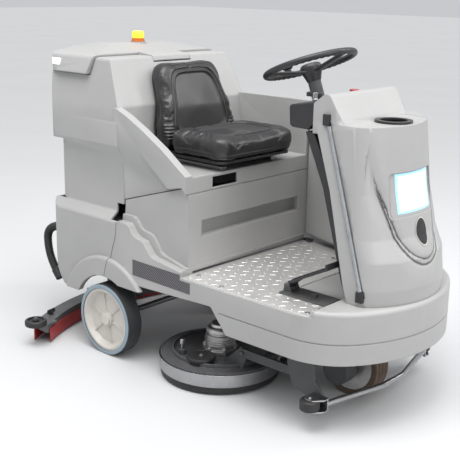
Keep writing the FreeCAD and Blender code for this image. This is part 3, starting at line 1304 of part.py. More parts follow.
def recovery_tank():
    """Tank moulding with the seat tray, the two wings, the arch halves and the hinge lugs."""
    body = fuse([rear_block(0)] + tank_wings())
    tray = box(-310, BOX_FRONT_X - 1, -345, 345, TRAY_Z - WALL, TRAY_Z)
    slope = (SEAM_HIGH - BOX_TOP) / 22.0
    lip = side_prism([(BOX_FRONT_X, BOX_TOP, 0), (BOX_FRONT_X, TRAY_Z, 3), (BOX_FRONT_X - WALL, TRAY_Z, 0),
                      (BOX_FRONT_X - WALL, BOX_TOP + WALL * slope, 0)], -352, 352)
    body = fuse([body, tray, lip])
    inner = rear_block(WALL)
    water = inner.common(box(-FAR, FAR, -FAR, FAR, WAIST_BOTTOM - 40, FAR))
    skirt = inner.common(box(-FAR, FAR, -FAR, FAR, 0, WAIST_BOTTOM - 40 - WALL))
    body = body.cut([water, skirt])
    body = body.cut(box(-335, 0, -(BOX_HALF + 40), BOX_HALF + 40, 0, 640).common(
        side_prism([(-340, 0, 0), (-340, 640, 0), (SEAM_X - 6, 640, 0), (SEAM_X - 6, 590, 0), (-305, 514, 0),
                    (-342, 400, 0)], -FAR, FAR)))
    body = body.cut(box(-735, -530, -190, 190, TANK_TOP - 20, TANK_TOP + 5))
    body = body.cut(box(LID_SEAM_X - 30, -380, -TONGUE_HALF - 2, TONGUE_HALF + 2, 1178, 1300))
    body = body.fuse(inner.common(box(-FAR, FAR, -TONGUE_HALF - 10, TONGUE_HALF + 10, 1171, 1178)
                                  .common(box(LID_SEAM_X - 6, FAR, -FAR, FAR, 0, FAR))))
    for side in (-1, 1):
        y0, y1 = sorted((side * TONGUE_HALF, side * (TONGUE_HALF + 10)))
        cheek = inner.common(box(LID_SEAM_X - 6, -380, side * 2 + y0, side * 2 + y1, 1171, FAR))
        body = body.fuse(cheek)
    body = body.cut(box(BOX_FRONT_X - 30, BOX_FRONT_X + 5, -235, -95, TRAY_BOTTOM + 6, TRAY_Z - WALL - 5))
    shelf = inner.common(box(-560, -300, -130, 130, 985, 985 + WALL))
    body = body.fuse(shelf)
    body = body.cut(cross_rod(ARCH_R, WHEEL_X, WHEEL_R, -FAR / 2, FAR / 2))
    body = fuse([body] + arch_flares(True) + tank_hinge_lugs())
    for side in (-1, 1):
        y0, y1 = sorted((side * 180, side * 280))
        body = body.cut(cross_rod(TILT_PIN_R + RUN, TILT_X, TILT_Z, y0, y1))
    knuckles = lid_hinge_knuckle(140, 150, TANK_REAR_X + 2, LID_HINGE_Z + 8)
    knuckles += lid_hinge_knuckle(182, 192, TANK_REAR_X + 2, LID_HINGE_Z + 8)
    pins = [cross_rod(LID_PIN_R, LID_HINGE_X, LID_HINGE_Z, *sorted((s * 138, s * 194))) for s in (-1, 1)]
    exit_point, _turn, _low, end = hose_stations()
    spigot = rod(HOSE_R + 5, (exit_point.x - 20, HOSE_Y, exit_point.z), AXIS_X, 24)
    clip = box(-735, -700, HOSE_Y - 8, HOSE_Y + 8, 380, 392)
    arm = side_prism([(-712, 392, 0), (-700, 380, 0), (end.x + 34, end.z + 8, 0), (end.x + 22, end.z + 20, 0)],
                     HOSE_Y - 8, HOSE_Y + 8)
    body = fuse([body, clip, arm, spigot] + knuckles + pins)
    return body.cut(rod(HOSE_R + SEAT, (exit_point.x - 21, HOSE_Y, exit_point.z), AXIS_X, 21 + SEAT))


def vacuum_motor():
    """Suction motor on its shelf inside the tank."""
    z = 985 + WALL + SEAT
    return fuse([rod(62, (-475, 0, z), AXIS_Z, 60), rod(48, (-475, 0, z + 55), AXIS_Z, 60)])


def lid_block(inset, low):
    """Outer shape of the lid; inset gives its inside."""
    i = inset
    side = [(-760 + i, low, 4), (LID_REAR_X + i, 1194, 30), (-752 + i, 1238 - i, 28), (-610, LID_TOP - i, 260),
            (LID_SEAM_X + 8 - i, 1214 - i, 8), (LID_SEAM_X - 13 - i, low, 4)]
    half = [(373 - i, low, 4), (346 - i, 1206 - i, 26), (110, LID_TOP + 6 - i, 90)]
    block = side_prism(side, -FAR / 2, FAR / 2).common(end_prism(both_sides(half), -900, -300))
    return block.cut(corner_cutters(LID_REAR_X + i, 366 - i, 76 - i, 0, FAR))


def strip_window(grow):
    """Where the side marker lamps wrap round the lid's rear corners."""
    pieces = []
    for side in (-1, 1):
        y0, y1 = sorted((side * (262 - grow), side * 420))
        pieces.append(box(-FAR, -690 + grow, y0, y1, 1162 - grow, 1186 + grow))
    return fuse(pieces)


def tank_lid():
    """Hinged lid with a tongue that reaches forward between the shoulders."""
    low = TANK_TOP + SEAM
    shell = lid_block(0, low).cut(lid_block(LID_T, low - 30))
    tongue = side_prism([(LID_SEAM_X - 20, 1182, 0), (-399, 1182, 3), (-408, 1205, 9), (LID_SEAM_X + 6, 1214, 0),
                         (LID_SEAM_X - 20, 1214, 0)], -TONGUE_HALF, TONGUE_HALF)
    lug = lid_hinge_knuckle(150 + GAP, 182 - GAP, -762, LID_HINGE_Z + 34)
    beacon_pad = rod(34, (BEACON_X, 0, LID_TOP - 12), AXIS_Z, 12)
    lid = fuse([shell, tongue, beacon_pad] + lug)
    pocket = lid_block(-2, low - 5).cut(lid_block(3, low - 30)).common(strip_window(GAP))
    lid = lid.cut(pocket)
    return lid.cut(cross_rod(LID_PIN_R + RUN, LID_HINGE_X, LID_HINGE_Z, -FAR / 2, FAR / 2))


def light_strips():
    """Two white marker lamps let into the lid's rear corners."""
    low = TANK_TOP + SEAM
    skin = lid_block(-1.5, low - 5).cut(lid_block(3 - SEAT, low - 30))
    return group(skin.common(strip_window(0)).Solids)


def beacon_base():
    base = rod(BEACON_R + 2, (BEACON_X, 0, LID_TOP + SEAT), AXIS_Z, 6)
    collar = rod(BEACON_R, (BEACON_X, 0, LID_TOP + SEAT), AXIS_Z, 15)
    return base.fuse(collar).removeSplitter()


def beacon_lens():
    low = LID_TOP + 2 * SEAT + 15
    dome = rod(BEACON_R - 1, (BEACON_X, 0, low), AXIS_Z, 30)
    return soften(dome, 11, lambda e: e.BoundBox.ZMin > low + 29)


# ================================================================ drain hose
def drain_path():
    """Centre line of the drain hose: straight runs joined by tangent arcs."""
    points = hose_stations()
    edges = []
    start = points[0]
    for i in (1, 2):
        back = points[i - 1] - points[i]
        ahead = points[i + 1] - points[i]
        half = back.getAngle(ahead) / 2
        reach = 0.45 * min(back.Length, ahead.Length)
        radius = reach * math.tan(half)
        print("drain hose bend radius", round(radius, 1))
        back.normalize()
        ahead.normalize()
        middle = back + ahead
        middle.normalize()
        first = points[i] + back * reach
        last = points[i] + ahead * reach
        top = points[i] + middle * (radius / math.sin(half) - radius)
        edges.append(Part.LineSegment(start, first).toShape())
        edges.append(Part.Arc(first, top, last).toShape())
        start = last
    edges.append(Part.LineSegment(start, points[3]).toShape())
    return Part.Wire(edges)


def drain_hose():
    """Corrugated drain hose as a plain tube of its outer size."""
    path = drain_path()
    points = hose_stations()
    section = Part.Wire(Part.Circle(points[0], AXIS_X, HOSE_R).toShape())
    hose = path.makePipeShell([section], True, True)
    expected = math.pi * HOSE_R ** 2 * path.Length
    print("drain hose length", round(path.Length, 1), "volume ratio", round(hose.Volume / expected, 4))
    return hose


def drain_cap():
    """Smooth end piece and plug of the drain hose."""
    _exit, _turn, low, end = hose_stations()
    run = end - low
    return rod(HOSE_R + 2, (end.x, end.y, end.z), run, HOSE_CAP_L)


# ================================================================ seat
def seat_rails():
    """Two fixed slide rails on the tray."""
    rails = []
    for side in (-1, 1):
        y0, y1 = sorted((side * (RAIL_Y - 14), side * (RAIL_Y + 14)))
        rails.append(box(-255, 40, y0, y1, TRAY_Z + SEAT, TRAY_Z + 12))
    return group(rails)


def back_line(offset):
    """Rear face of the backrest, moved back by offset."""
    return [(-286 - offset, SEAT_Z + SEAT), (-306 - offset, 1016), (-372 - offset, 1166)]


def back_taper(inset):
    """Front view of the backrest, which narrows to round shoulders; inset gives the shell behind it."""
    half = BACK_HALF - inset
    top_half = BACK_TOP_HALF - inset
    return end_prism(both_sides([(half, 700, 0), (half, 940, 90), (top_half, BACK_TOP + 1 - inset, 78)]), -600, 0)


def seat_pan():
    """Runners, pan and the shell behind the backrest."""
    low = TRAY_Z + 12 + SEAT
    runners = []
    for side in (-1, 1):
        y0, y1 = sorted((side * (RAIL_Y - 11), side * (RAIL_Y + 11)))
        runners.append(box(-240, 20, y0, y1, low, SEAT_Z - 8))
    pan = slab(-288, SEAT_FRONT_X - 24, -(SEAT_HALF - 24), SEAT_HALF - 24, SEAT_Z - 10, SEAT_Z - SEAT, 40, 0)
    front = back_line(1)
    rear = back_line(8)
    line = [(-287, SEAT_Z - 10)] + front + list(reversed(rear)) + [(-294, SEAT_Z - 10)]
    shell = side_prism([(x, z, 0) for x, z in line], -BACK_HALF, BACK_HALF)
    return fuse([pan, shell.common(back_taper(22))] + runners)


def seat_cushion():
    """Seat cushion as a plain rounded block."""
    block = slab(-212, SEAT_FRONT_X, -SEAT_HALF, SEAT_HALF, SEAT_Z, SEAT_Z + CUSHION_T, 60, 24)
    return block


def seat_back():
    """Backrest as a plain block with a bend at the lumbar line."""
    low, bend, high = back_line(0)
    line = [(low[0], low[1], 0), (bend[0], bend[1], 0), (high[0], high[1], 16), (-362, BACK_TOP, 14),
            (-306, BACK_TOP - 6, 24), (-232, 1010, 60), (-214 - SEAT, SEAT_Z + 60, 20),
            (-214 - SEAT, SEAT_Z + SEAT, 0)]
    block = side_prism(line, -BACK_HALF, BACK_HALF)
    return block.common(back_taper(0))


# ================================================================ output
NODES = {
    "chassis_frame": chassis_frame,
    "rear_axle": rear_axle,
    "batteries": batteries,
    "base_body": base_body,
    "left_side_wall": left_side_wall,
    "left_foot_panel": left_foot_panel,
    "tread_plate": tread_plate,
    "deck_screws": deck_screws,
    "nose_tank": nose_tank,
    "headlight_lens": headlight_lens,
    "sight_tube": sight_tube,
    "sight_fittings": sight_fittings,
    "filler_strainer": filler_strainer,
    "column_cover": column_cover,
    "dash_box": dash_box,
    "steering_column": steering_column,
    "steering_wheel": steering_wheel,
    "spinner_knob": spinner_knob,
    "key_switch": key_switch,
    "estop_button": estop_button,
    "drive_lever": drive_lever,
    "drive_fork": drive_fork,
    "drive_motor": drive_motor,
    "drive_hub": drive_hub,
    "drive_tyre": drive_tyre,
    "rear_tyre_left": lambda: rear_tyre(1),
    "rear_tyre_right": lambda: rear_tyre(-1),
    "rear_hub_left": lambda: rear_hub(1),
    "rear_hub_right": lambda: rear_hub(-1),
    "pedal_base": pedal_base,
    "accelerator_pedal": accelerator_pedal,
    "bumper_tube": bumper_tube,
    "bumper_roller_left": lambda: bumper_roller(1),
    "bumper_roller_right": lambda: bumper_roller(-1),
    "deck_arms": deck_arms,
    "brush_deck": brush_deck,
    "latch_pin": latch_pin,
    "ring_guard": ring_guard,
    "deck_skirt": deck_skirt,
    "brush_motors": brush_motors,
    "brush_left": lambda: brush(1),
    "brush_right": lambda: brush(-1),
    "squeegee_arm": squeegee_arm,
    "squeegee_body": squeegee_body,
    "squeegee_blades": squeegee_blades,
    "wing_knobs": wing_knobs,
    "squeegee_roller_left": lambda: squeegee_roller(1),
    "squeegee_roller_right": lambda: squeegee_roller(-1),
    "recovery_tank": recovery_tank,
    "vacuum_motor": vacuum_motor,
    "tank_lid": tank_lid,
    "light_strips": light_strips,
    "beacon_base": beacon_base,
    "beacon_lens": beacon_lens,
    "drain_hose": drain_hose,
    "drain_cap": drain_cap,
    "seat_rails": seat_rails,
    "seat_pan": seat_pan,
    "seat_cushion": seat_cushion,
    "seat_back": seat_back,
}

os.makedirs("parts", exist_ok=True)
for name, make in NODES.items():
    save(name, make())
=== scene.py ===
# %% [markdown]
# # The looks of a ride-on floor scrubber
# The machine comes in as a fixed frame: every piece has its place and size already, and moves with a named
# body.  The lesson gives each piece its finish and swaps the plain soft, knobbly and moulded pieces for
# better meshes in the same place.  Lengths are in metres, +X is forward, +Y is the driver's left, +Z is up.

# %% Load the frame
import json
import math

import bmesh
import bpy
from mathutils import Euler, Matrix, Quaternion, Vector
from mathutils.bvhtree import BVHTree

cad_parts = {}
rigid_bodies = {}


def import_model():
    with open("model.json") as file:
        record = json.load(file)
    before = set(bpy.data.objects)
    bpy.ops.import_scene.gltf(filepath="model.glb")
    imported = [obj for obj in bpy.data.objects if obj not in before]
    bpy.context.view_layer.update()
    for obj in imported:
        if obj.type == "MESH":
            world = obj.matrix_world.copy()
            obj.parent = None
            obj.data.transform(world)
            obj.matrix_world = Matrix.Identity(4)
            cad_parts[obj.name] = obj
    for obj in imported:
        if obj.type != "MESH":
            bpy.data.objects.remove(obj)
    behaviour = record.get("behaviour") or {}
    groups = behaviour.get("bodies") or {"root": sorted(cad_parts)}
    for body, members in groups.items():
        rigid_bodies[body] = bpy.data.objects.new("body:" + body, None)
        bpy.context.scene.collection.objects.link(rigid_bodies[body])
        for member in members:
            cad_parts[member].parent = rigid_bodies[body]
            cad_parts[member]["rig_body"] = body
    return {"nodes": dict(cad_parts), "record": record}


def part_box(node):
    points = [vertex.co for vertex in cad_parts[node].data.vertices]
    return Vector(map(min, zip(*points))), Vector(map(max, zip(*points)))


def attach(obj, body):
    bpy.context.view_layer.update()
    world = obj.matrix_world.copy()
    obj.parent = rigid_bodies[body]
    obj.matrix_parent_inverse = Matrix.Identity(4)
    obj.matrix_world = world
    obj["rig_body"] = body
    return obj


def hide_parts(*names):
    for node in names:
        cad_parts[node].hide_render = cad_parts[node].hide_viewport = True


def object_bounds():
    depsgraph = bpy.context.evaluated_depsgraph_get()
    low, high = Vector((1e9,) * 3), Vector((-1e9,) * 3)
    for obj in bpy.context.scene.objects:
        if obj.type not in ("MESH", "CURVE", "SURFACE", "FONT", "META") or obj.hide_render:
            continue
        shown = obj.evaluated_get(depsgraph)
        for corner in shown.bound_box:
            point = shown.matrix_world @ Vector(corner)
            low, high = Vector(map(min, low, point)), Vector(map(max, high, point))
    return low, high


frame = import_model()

cad_low, cad_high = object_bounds()
MM = 0.001
print("frame of", len(frame["nodes"]), "pieces,", [round(size, 3) for size in cad_high - cad_low], "m")

# %% [markdown]
# ## Camera, light and floor
# A catalogue picture of such a machine is taken from a little above the driver's head with a long lens, so
# the sides stay nearly parallel.  A fitted lens and place are given to the camera as numbers.  Big soft
# lamps are what makes pale plastic look smooth and gives black vinyl its long bright streaks.

# %% Camera
def link(made):
    """Put an object in the scene."""
    bpy.context.scene.collection.objects.link(made)
    return made


AZIMUTH = math.radians(41.777)      # round the machine from its right side towards its front
PITCH = math.radians(15.356)        # below the horizon
ROLL = math.radians(1.11)

camera_data = bpy.data.cameras.new("camera")
camera_data.lens = 70.4
camera_data.sensor_width = 36
camera = link(bpy.data.objects.new("camera", camera_data))
camera.location = (2.335, -2.677, 1.497)
camera.rotation_mode = "QUATERNION"
level = Euler((math.pi / 2 - PITCH, 0, AZIMUTH)).to_quaternion()
camera.rotation_quaternion = level @ Quaternion((0, 0, 1), ROLL)
bpy.context.scene.camera = camera
print("camera", round((camera.location - (cad_low + cad_high) / 2).length, 2), "m from the machine")


# %% Light
def softbox(name, place, aim, width, height, watts, colour=(1, 1, 1)):
    """A rectangular soft lamp that faces a point."""
    lamp = bpy.data.lights.new(name, "AREA")
    lamp.shape = "RECTANGLE"
    lamp.size = width
    lamp.size_y = height
    lamp.energy = watts
    lamp.color = colour
    holder = link(bpy.data.objects.new(name, lamp))
    holder.location = place
    holder.rotation_euler = (Vector(aim) - Vector(place)).to_track_quat("-Z", "Y").to_euler()


softbox("key_light", (0.1, -1.3, 4.2), (-0.3, 0, 0.6), 3.2, 2.4, 125)
softbox("front_light", (4.4, -0.4, 2.2), (0.3, 0, 0.7), 2.4, 2.2, 52)
softbox("side_light", (-1.4, -4.2, 2.0), (-0.2, 0, 0.6), 2.2, 2.0, 12)
softbox("strip_light", (1.9, 2.4, 3.0), (-0.2, 0, 0.9), 0.5, 2.6, 40)

# A very wide sun stands for the white ceiling, and lights the floor evenly out to the horizon.
sky_panel = bpy.data.lights.new("sky_panel", "SUN")
sky_panel.energy = 2.3
sky_panel.angle = math.radians(75)
sky_holder = link(bpy.data.objects.new("sky_panel", sky_panel))
sky_holder.rotation_euler = Vector((0.35, -0.12, 1.0)).to_track_quat("Z", "Y").to_euler()

world = bpy.data.worlds.new("studio")
world.use_nodes = True
world.node_tree.nodes["Background"].inputs["Color"].default_value = (0.95, 0.97, 1.0, 1)
world.node_tree.nodes["Background"].inputs["Strength"].default_value = 0.60
bpy.context.scene.world = world
bpy.context.scene.view_settings.view_transform = "Standard"
print("lights", [lamp.name for lamp in bpy.data.lights])

# %% [markdown]
# ## Nodes for finishes
# A finish is a shader with its colour, roughness and bumps driven by patterns.  Patterns that several
# finishes share are built once as node groups and placed with their own numbers.  Short helpers keep each
# finish readable.


# %% Node helpers
def node(tree, kind, sockets=None, **settings):
    """A new node with its settings, and its sockets set to numbers or fed from other sockets."""
    made = tree.nodes.new(kind)
    for name, value in settings.items():
        setattr(made, name, value)
    for name, value in (sockets or {}).items():
        if isinstance(value, bpy.types.NodeSocket):
            tree.links.new(value, made.inputs[name])
        else:
            made.inputs[name].default_value = value
    return made


def maths(tree, operation, a, b=0.0):
    """One sum on two numbers or sockets."""
    return node(tree, "ShaderNodeMath", {0: a, 1: b}, operation=operation).outputs[0]


def ramp(tree, value, low, high, to_low=0.0, to_high=1.0):
    """The value stretched from low..high to to_low..to_high, and clamped."""
    sockets = {"Value": value, "From Min": low, "From Max": high, "To Min": to_low, "To Max": to_high}
    return node(tree, "ShaderNodeMapRange", sockets).outputs[0]


def blend_colours(tree, mask, first, second, share=None):
    """The first colour where the mask is 0 and the second, or only a share of it, where the mask is 1."""
    if share is not None:
        mask = maths(tree, "MULTIPLY", mask, share)
    sockets = {0: mask, 6: first, 7: second}
    return node(tree, "ShaderNodeMix", sockets, data_type="RGBA").outputs[2]


def object_place(tree, scale=(1, 1, 1), turn=(0, 0, 0), move=(0, 0, 0)):
    """The point on the machine, in metres, squeezed or turned for a pattern that has a direction."""
    place = node(tree, "ShaderNodeTexCoord").outputs["Object"]
    sockets = {"Vector": place, "Location": move, "Rotation": turn, "Scale": scale}
    return node(tree, "ShaderNodeMapping", sockets).outputs[0]


def noise(tree, place, scale, detail, roughness=0.5):
    """A cloudy number at the place."""
    sockets = {"Vector": place, "Scale": scale, "Detail": detail, "Roughness": roughness}
    return node(tree, "ShaderNodeTexNoise", sockets).outputs[0]


def parts_of(tree, vector):
    """The X, Y and Z of a vector."""
    return node(tree, "ShaderNodeSeparateXYZ", {0: vector}).outputs


def true_normal(tree):
    return node(tree, "ShaderNodeNewGeometry").outputs["Normal"]


def shader_group(name, numbers, results):
    """An empty node group with number inputs, and its own ends to wire up."""
    tree = bpy.data.node_groups.new(name, "ShaderNodeTree")
    for label, value in numbers.items():
        socket = tree.interface.new_socket(label, in_out="INPUT", socket_type="NodeSocketFloat")
        socket.default_value = value
    for label in results:
        kind = "NodeSocketVector" if label == "Normal" else "NodeSocketFloat"
        tree.interface.new_socket(label, in_out="OUTPUT", socket_type=kind)
    return tree, node(tree, "NodeGroupInput").outputs, node(tree, "NodeGroupOutput").inputs


# %% Shared pattern: slow mottling
def build_mottle():
    """Cloudy, slow variation, as in any large moulding or much-handled part."""
    tree, given, result = shader_group("mottle", {"Scale": 5.0}, ["Value"])
    cloud = noise(tree, object_place(tree), given["Scale"], 4.0, 0.62)
    tree.links.new(ramp(tree, cloud, 0.28, 0.72), result["Value"])
    return tree


# %% Shared pattern: fine grain
def build_grain():
    """The fine, even texture of a mould or of powder coat, as a height."""
    tree, given, result = shader_group("grain", {"Scale": 900.0}, ["Height"])
    tree.links.new(noise(tree, object_place(tree), given["Scale"], 2.0), result["Height"])
    return tree


# %% Shared pattern: worn and softened edges
def build_edges():
    """Where the surface turns a corner within the given width, broken up so that wear looks rubbed."""
    tree, given, result = shader_group("edges", {"Width": 0.003}, ["Mask", "Normal"])
    soft = node(tree, "ShaderNodeBevel", {"Radius": given["Width"]}, samples=6).outputs[0]
    both = {0: soft, 1: true_normal(tree)}
    alike = node(tree, "ShaderNodeVectorMath", both, operation="DOT_PRODUCT").outputs["Value"]
    corner = ramp(tree, alike, 0.985, 0.80)
    patches = ramp(tree, noise(tree, object_place(tree), 46.0, 5.0, 0.7), 0.38, 0.62)
    tree.links.new(maths(tree, "MULTIPLY", corner, patches), result["Mask"])
    tree.links.new(soft, result["Normal"])
    return tree


# %% Shared pattern: dust and floor grime
def build_dust():
    """Dust on faces that look up, and grime that fades out with height above the floor."""
    tree, given, result = shader_group("dust", {"Grime height": 0.35}, ["Settled", "Grime"])
    place = object_place(tree)
    high = parts_of(tree, place)["Z"]
    patches = ramp(tree, noise(tree, place, 21.0, 6.0, 0.68), 0.3, 0.75)
    upward = ramp(tree, parts_of(tree, true_normal(tree))["Z"], 0.45, 1.0)
    tree.links.new(maths(tree, "MULTIPLY", upward, patches), result["Settled"])
    near_floor = maths(tree, "SUBTRACT", 1.0, maths(tree, "DIVIDE", high, given["Grime height"]))
    low = node(tree, "ShaderNodeClamp", {"Value": near_floor}).outputs[0]
    tree.links.new(maths(tree, "MULTIPLY", low, patches), result["Grime"])
    return tree


# %% Shared pattern: brushed lines
def build_brushed():
    """Fine scratches that run along the machine, for rolled and polished metal."""
    tree, given, result = shader_group("brushed", {"Scale": 60.0}, ["Value"])
    scratches = noise(tree, object_place(tree, scale=(1, 12, 12)), given["Scale"], 4.0, 0.7)
    tree.links.new(ramp(tree, scratches, 0.3, 0.7), result["Value"])
    return tree


GROUPS = {
    "mottle": build_mottle(),
    "grain": build_grain(),
    "edges": build_edges(),
    "dust": build_dust(),
    "brushed": build_brushed(),
}
print("pattern groups", sorted(GROUPS))


# %% A finish with its usual layers
class Finish:
    """A material whose shader gets its fixed numbers on its own sockets, and its patterns from groups."""

    def __init__(self, name, roughness, **fixed):
        self.material = bpy.data.materials.new(name)
        self.material.use_nodes = True
        self.tree = self.material.node_tree
        self.shader = self.tree.nodes["Principled BSDF"]
        self.shader.inputs["Roughness"].default_value = roughness
        for label, value in fixed.items():
            self.shader.inputs[label.replace("_", " ")].default_value = value

    def pattern(self, name, **numbers):
        """A shared pattern, placed in this material with its own numbers."""
        placed = self.tree.nodes.new("ShaderNodeGroup")
        placed.node_tree = GROUPS[name]
        for label, value in numbers.items():
            placed.inputs[label.replace("_", " ")].default_value = value
        return placed.outputs

    def colour(self, socket):
        self.tree.links.new(socket, self.shader.inputs["Base Color"])

    def rough(self, value, smooth, dull):
        """Roughness between two numbers as a pattern says."""
        self.tree.links.new(ramp(self.tree, value, 0.0, 1.0, smooth, dull), self.shader.inputs["Roughness"])

    def bump(self, height, depth, normal=None):
        """A bump of the given depth in metres, on top of an already softened normal."""
        sockets = {"Height": height, "Distance": depth, "Strength": 1.0}
        if normal is not None:
            sockets["Normal"] = normal
        raised = node(self.tree, "ShaderNodeBump", sockets).outputs[0]
        self.tree.links.new(raised, self.shader.inputs["Normal"])


def rgb(red, green, blue):
    return (red, green, blue, 1.0)


def plain_finish(name, light, dark, worn, smooth, dull, grain=900.0, depth=0.00004, edge=0.0025, **fixed):
    """The layers that most parts share: mottled colour, rubbed edges, dust, grime and a fine grain."""
    made = Finish(name, dull, **fixed)
    tree = made.tree
    cloud = made.pattern("mottle", Scale=6.0)["Value"]
    edges = made.pattern("edges", Width=edge)
    dust = made.pattern("dust", Grime_height=0.30)
    base = blend_colours(tree, cloud, light, dark)
    rubbed = blend_colours(tree, edges["Mask"], base, worn, 0.55)
    dusty = blend_colours(tree, dust["Settled"], rubbed, rgb(0.30, 0.285, 0.26), 0.10)
    made.colour(blend_colours(tree, dust["Grime"], dusty, rgb(0.07, 0.063, 0.055), 0.16))
    made.rough(cloud, smooth, dull)
    made.bump(made.pattern("grain", Scale=grain)["Height"], depth, edges["Normal"])
    return made


# %% [markdown]
# ## Moulded plastic
# The tank, base and nose are rotomoulded: powder melts against the inside of a hot, turning mould.  The skin
# comes out semi-matte with a very slow waviness that only shows in the reflections, so a slow bump is mixed
# with the fine grain.  A plain glossy shader would look like painted metal.

# %% Body moulding
BODY_LIGHT = rgb(0.345, 0.342, 0.338)
BODY_DARK = rgb(0.318, 0.315, 0.311)


def body_shell():
    made = Finish("body_shell", 0.45, Specular_IOR_Level=0.42)
    tree = made.tree
    cloud = made.pattern("mottle", Scale=3.2)["Value"]
    edges = made.pattern("edges", Width=0.005)
    dust = made.pattern("dust", Grime_height=0.42)
    base = blend_colours(tree, cloud, BODY_LIGHT, BODY_DARK)
    pale = blend_colours(tree, edges["Mask"], base, rgb(0.45, 0.447, 0.44), 0.35)
    dusty = blend_colours(tree, dust["Settled"], pale, rgb(0.4, 0.385, 0.36), 0.08)
    made.colour(blend_colours(tree, dust["Grime"], dusty, rgb(0.16, 0.15, 0.14), 0.22))
    made.rough(cloud, 0.38, 0.5)
    slow = made.pattern("mottle", Scale=24.0)["Value"]
    fine = made.pattern("grain", Scale=700.0)["Height"]
    waves = maths(tree, "ADD", slow, maths(tree, "MULTIPLY", fine, 0.12))
    made.bump(waves, 0.00035, edges["Normal"])
    return made


def black_plastic():
    return plain_finish("black_plastic", rgb(0.020, 0.020, 0.022), rgb(0.013, 0.013, 0.014),
                        rgb(0.075, 0.075, 0.078), 0.34, 0.5, grain=1300.0, depth=0.00007)


def wheel_plastic():
    return plain_finish("wheel_plastic", rgb(0.56, 0.53, 0.49), rgb(0.48, 0.455, 0.42),
                        rgb(0.62, 0.6, 0.57), 0.3, 0.42, grain=600.0, depth=0.00003)


def battery_case():
    return plain_finish("battery_case", rgb(0.03, 0.035, 0.05), rgb(0.02, 0.023, 0.035),
                        rgb(0.09, 0.1, 0.12), 0.4, 0.55, grain=500.0)


def bristle():
    made = Finish("bristle", 0.5)
    fibres = made.pattern("grain", Scale=420.0)["Height"]
    made.colour(blend_colours(made.tree, fibres, rgb(0.02, 0.05, 0.14), rgb(0.10, 0.17, 0.34)))
    made.rough(fibres, 0.42, 0.62)
    made.bump(fibres, 0.0004)
    return made


# %% [markdown]
# ## Metal
# Powder coat is a plastic skin with an orange-peel grain.  The hoop, the bumper and the step are bare metal,
# so their colour sits in a metallic shader and the wear shows as changes in roughness.  The checker plate
# has a raised pattern of its own in the mesh, and only the rolled skin between the lozenges is made here.


# %% Coated and bare metal
def frame_paint():
    return plain_finish("frame_paint", rgb(0.055, 0.057, 0.060), rgb(0.040, 0.041, 0.043),
                        rgb(0.24, 0.235, 0.225), 0.4, 0.52, grain=450.0, depth=0.00008)


def deck_paint():
    return plain_finish("deck_paint", rgb(0.085, 0.087, 0.092), rgb(0.062, 0.063, 0.067),
                        rgb(0.3, 0.3, 0.3), 0.36, 0.5, grain=380.0, depth=0.00009)


def metal(name, light, dark, smooth, dull, lines=60.0, depth=0.00002, edge=0.002):
    made = Finish(name, dull, Metallic=1.0)
    tree = made.tree
    brushed = made.pattern("brushed", Scale=lines)["Value"]
    cloud = made.pattern("mottle", Scale=14.0)["Value"]
    edges = made.pattern("edges", Width=edge)
    dust = made.pattern("dust", Grime_height=0.25)
    base = blend_colours(tree, cloud, light, dark, 0.7)
    bright = blend_colours(tree, edges["Mask"], base, rgb(0.86, 0.86, 0.85), 0.5)
    made.colour(blend_colours(tree, dust["Grime"], bright, rgb(0.12, 0.11, 0.1), 0.3))
    both = maths(tree, "MULTIPLY", maths(tree, "ADD", brushed, cloud), 0.5)
    made.rough(both, smooth, dull)
    made.bump(brushed, depth, edges["Normal"])
    return made


def tread_aluminium():
    return metal("tread_aluminium", rgb(0.93, 0.92, 0.90), rgb(0.74, 0.72, 0.70), 0.42, 0.62, lines=90.0)


def bright_steel():
    return metal("bright_steel", rgb(0.46, 0.46, 0.47), rgb(0.36, 0.36, 0.37), 0.22, 0.38)


def cast_aluminium():
    made = metal("cast_aluminium", rgb(0.68, 0.675, 0.67), rgb(0.52, 0.515, 0.51), 0.36, 0.56)
    pitted = made.pattern("grain", Scale=260.0)["Height"]
    made.bump(pitted, 0.00025, made.pattern("edges", Width=0.003)["Normal"])
    return made


# %% [markdown]
# ## Rubber
# The rear tyres are cast polyurethane with a blue-grey side and a darker tread that picks up dirt from the
# floor.  One material covers both: the mask is how far the surface faces sideways.  The skirts, blades and
# rollers are plain rubber, dull with a little bloom on the edges.


# %% Tyres and rubber
def grey_tyre():
    made = Finish("grey_tyre", 0.5)
    tree = made.tree
    facing = parts_of(tree, true_normal(tree))["Y"]
    sideways = ramp(tree, maths(tree, "ABSOLUTE", facing), 0.55, 0.75)
    cloud = made.pattern("mottle", Scale=18.0)["Value"]
    side = blend_colours(tree, cloud, rgb(0.245, 0.315, 0.36), rgb(0.20, 0.262, 0.305))
    tread = blend_colours(tree, cloud, rgb(0.048, 0.049, 0.053), rgb(0.030, 0.031, 0.034))
    made.colour(blend_colours(tree, sideways, tread, side))
    made.rough(cloud, 0.42, 0.62)
    fine = made.pattern("grain", Scale=320.0)["Height"]
    made.bump(fine, 0.0002, made.pattern("edges", Width=0.004)["Normal"])
    return made


def drive_tread():
    return plain_finish("drive_tread", rgb(0.13, 0.085, 0.055), rgb(0.075, 0.05, 0.034),
                        rgb(0.2, 0.15, 0.11), 0.55, 0.75, grain=300.0, depth=0.0003)


def black_rubber():
    return plain_finish("black_rubber", rgb(0.017, 0.017, 0.018), rgb(0.011, 0.011, 0.012),
                        rgb(0.06, 0.06, 0.06), 0.48, 0.66, grain=520.0, depth=0.0001)


def red_rubber():
    return plain_finish("red_rubber", rgb(0.40, 0.022, 0.022), rgb(0.28, 0.014, 0.014),
                        rgb(0.5, 0.1, 0.09), 0.4, 0.55, grain=420.0, depth=0.00008)


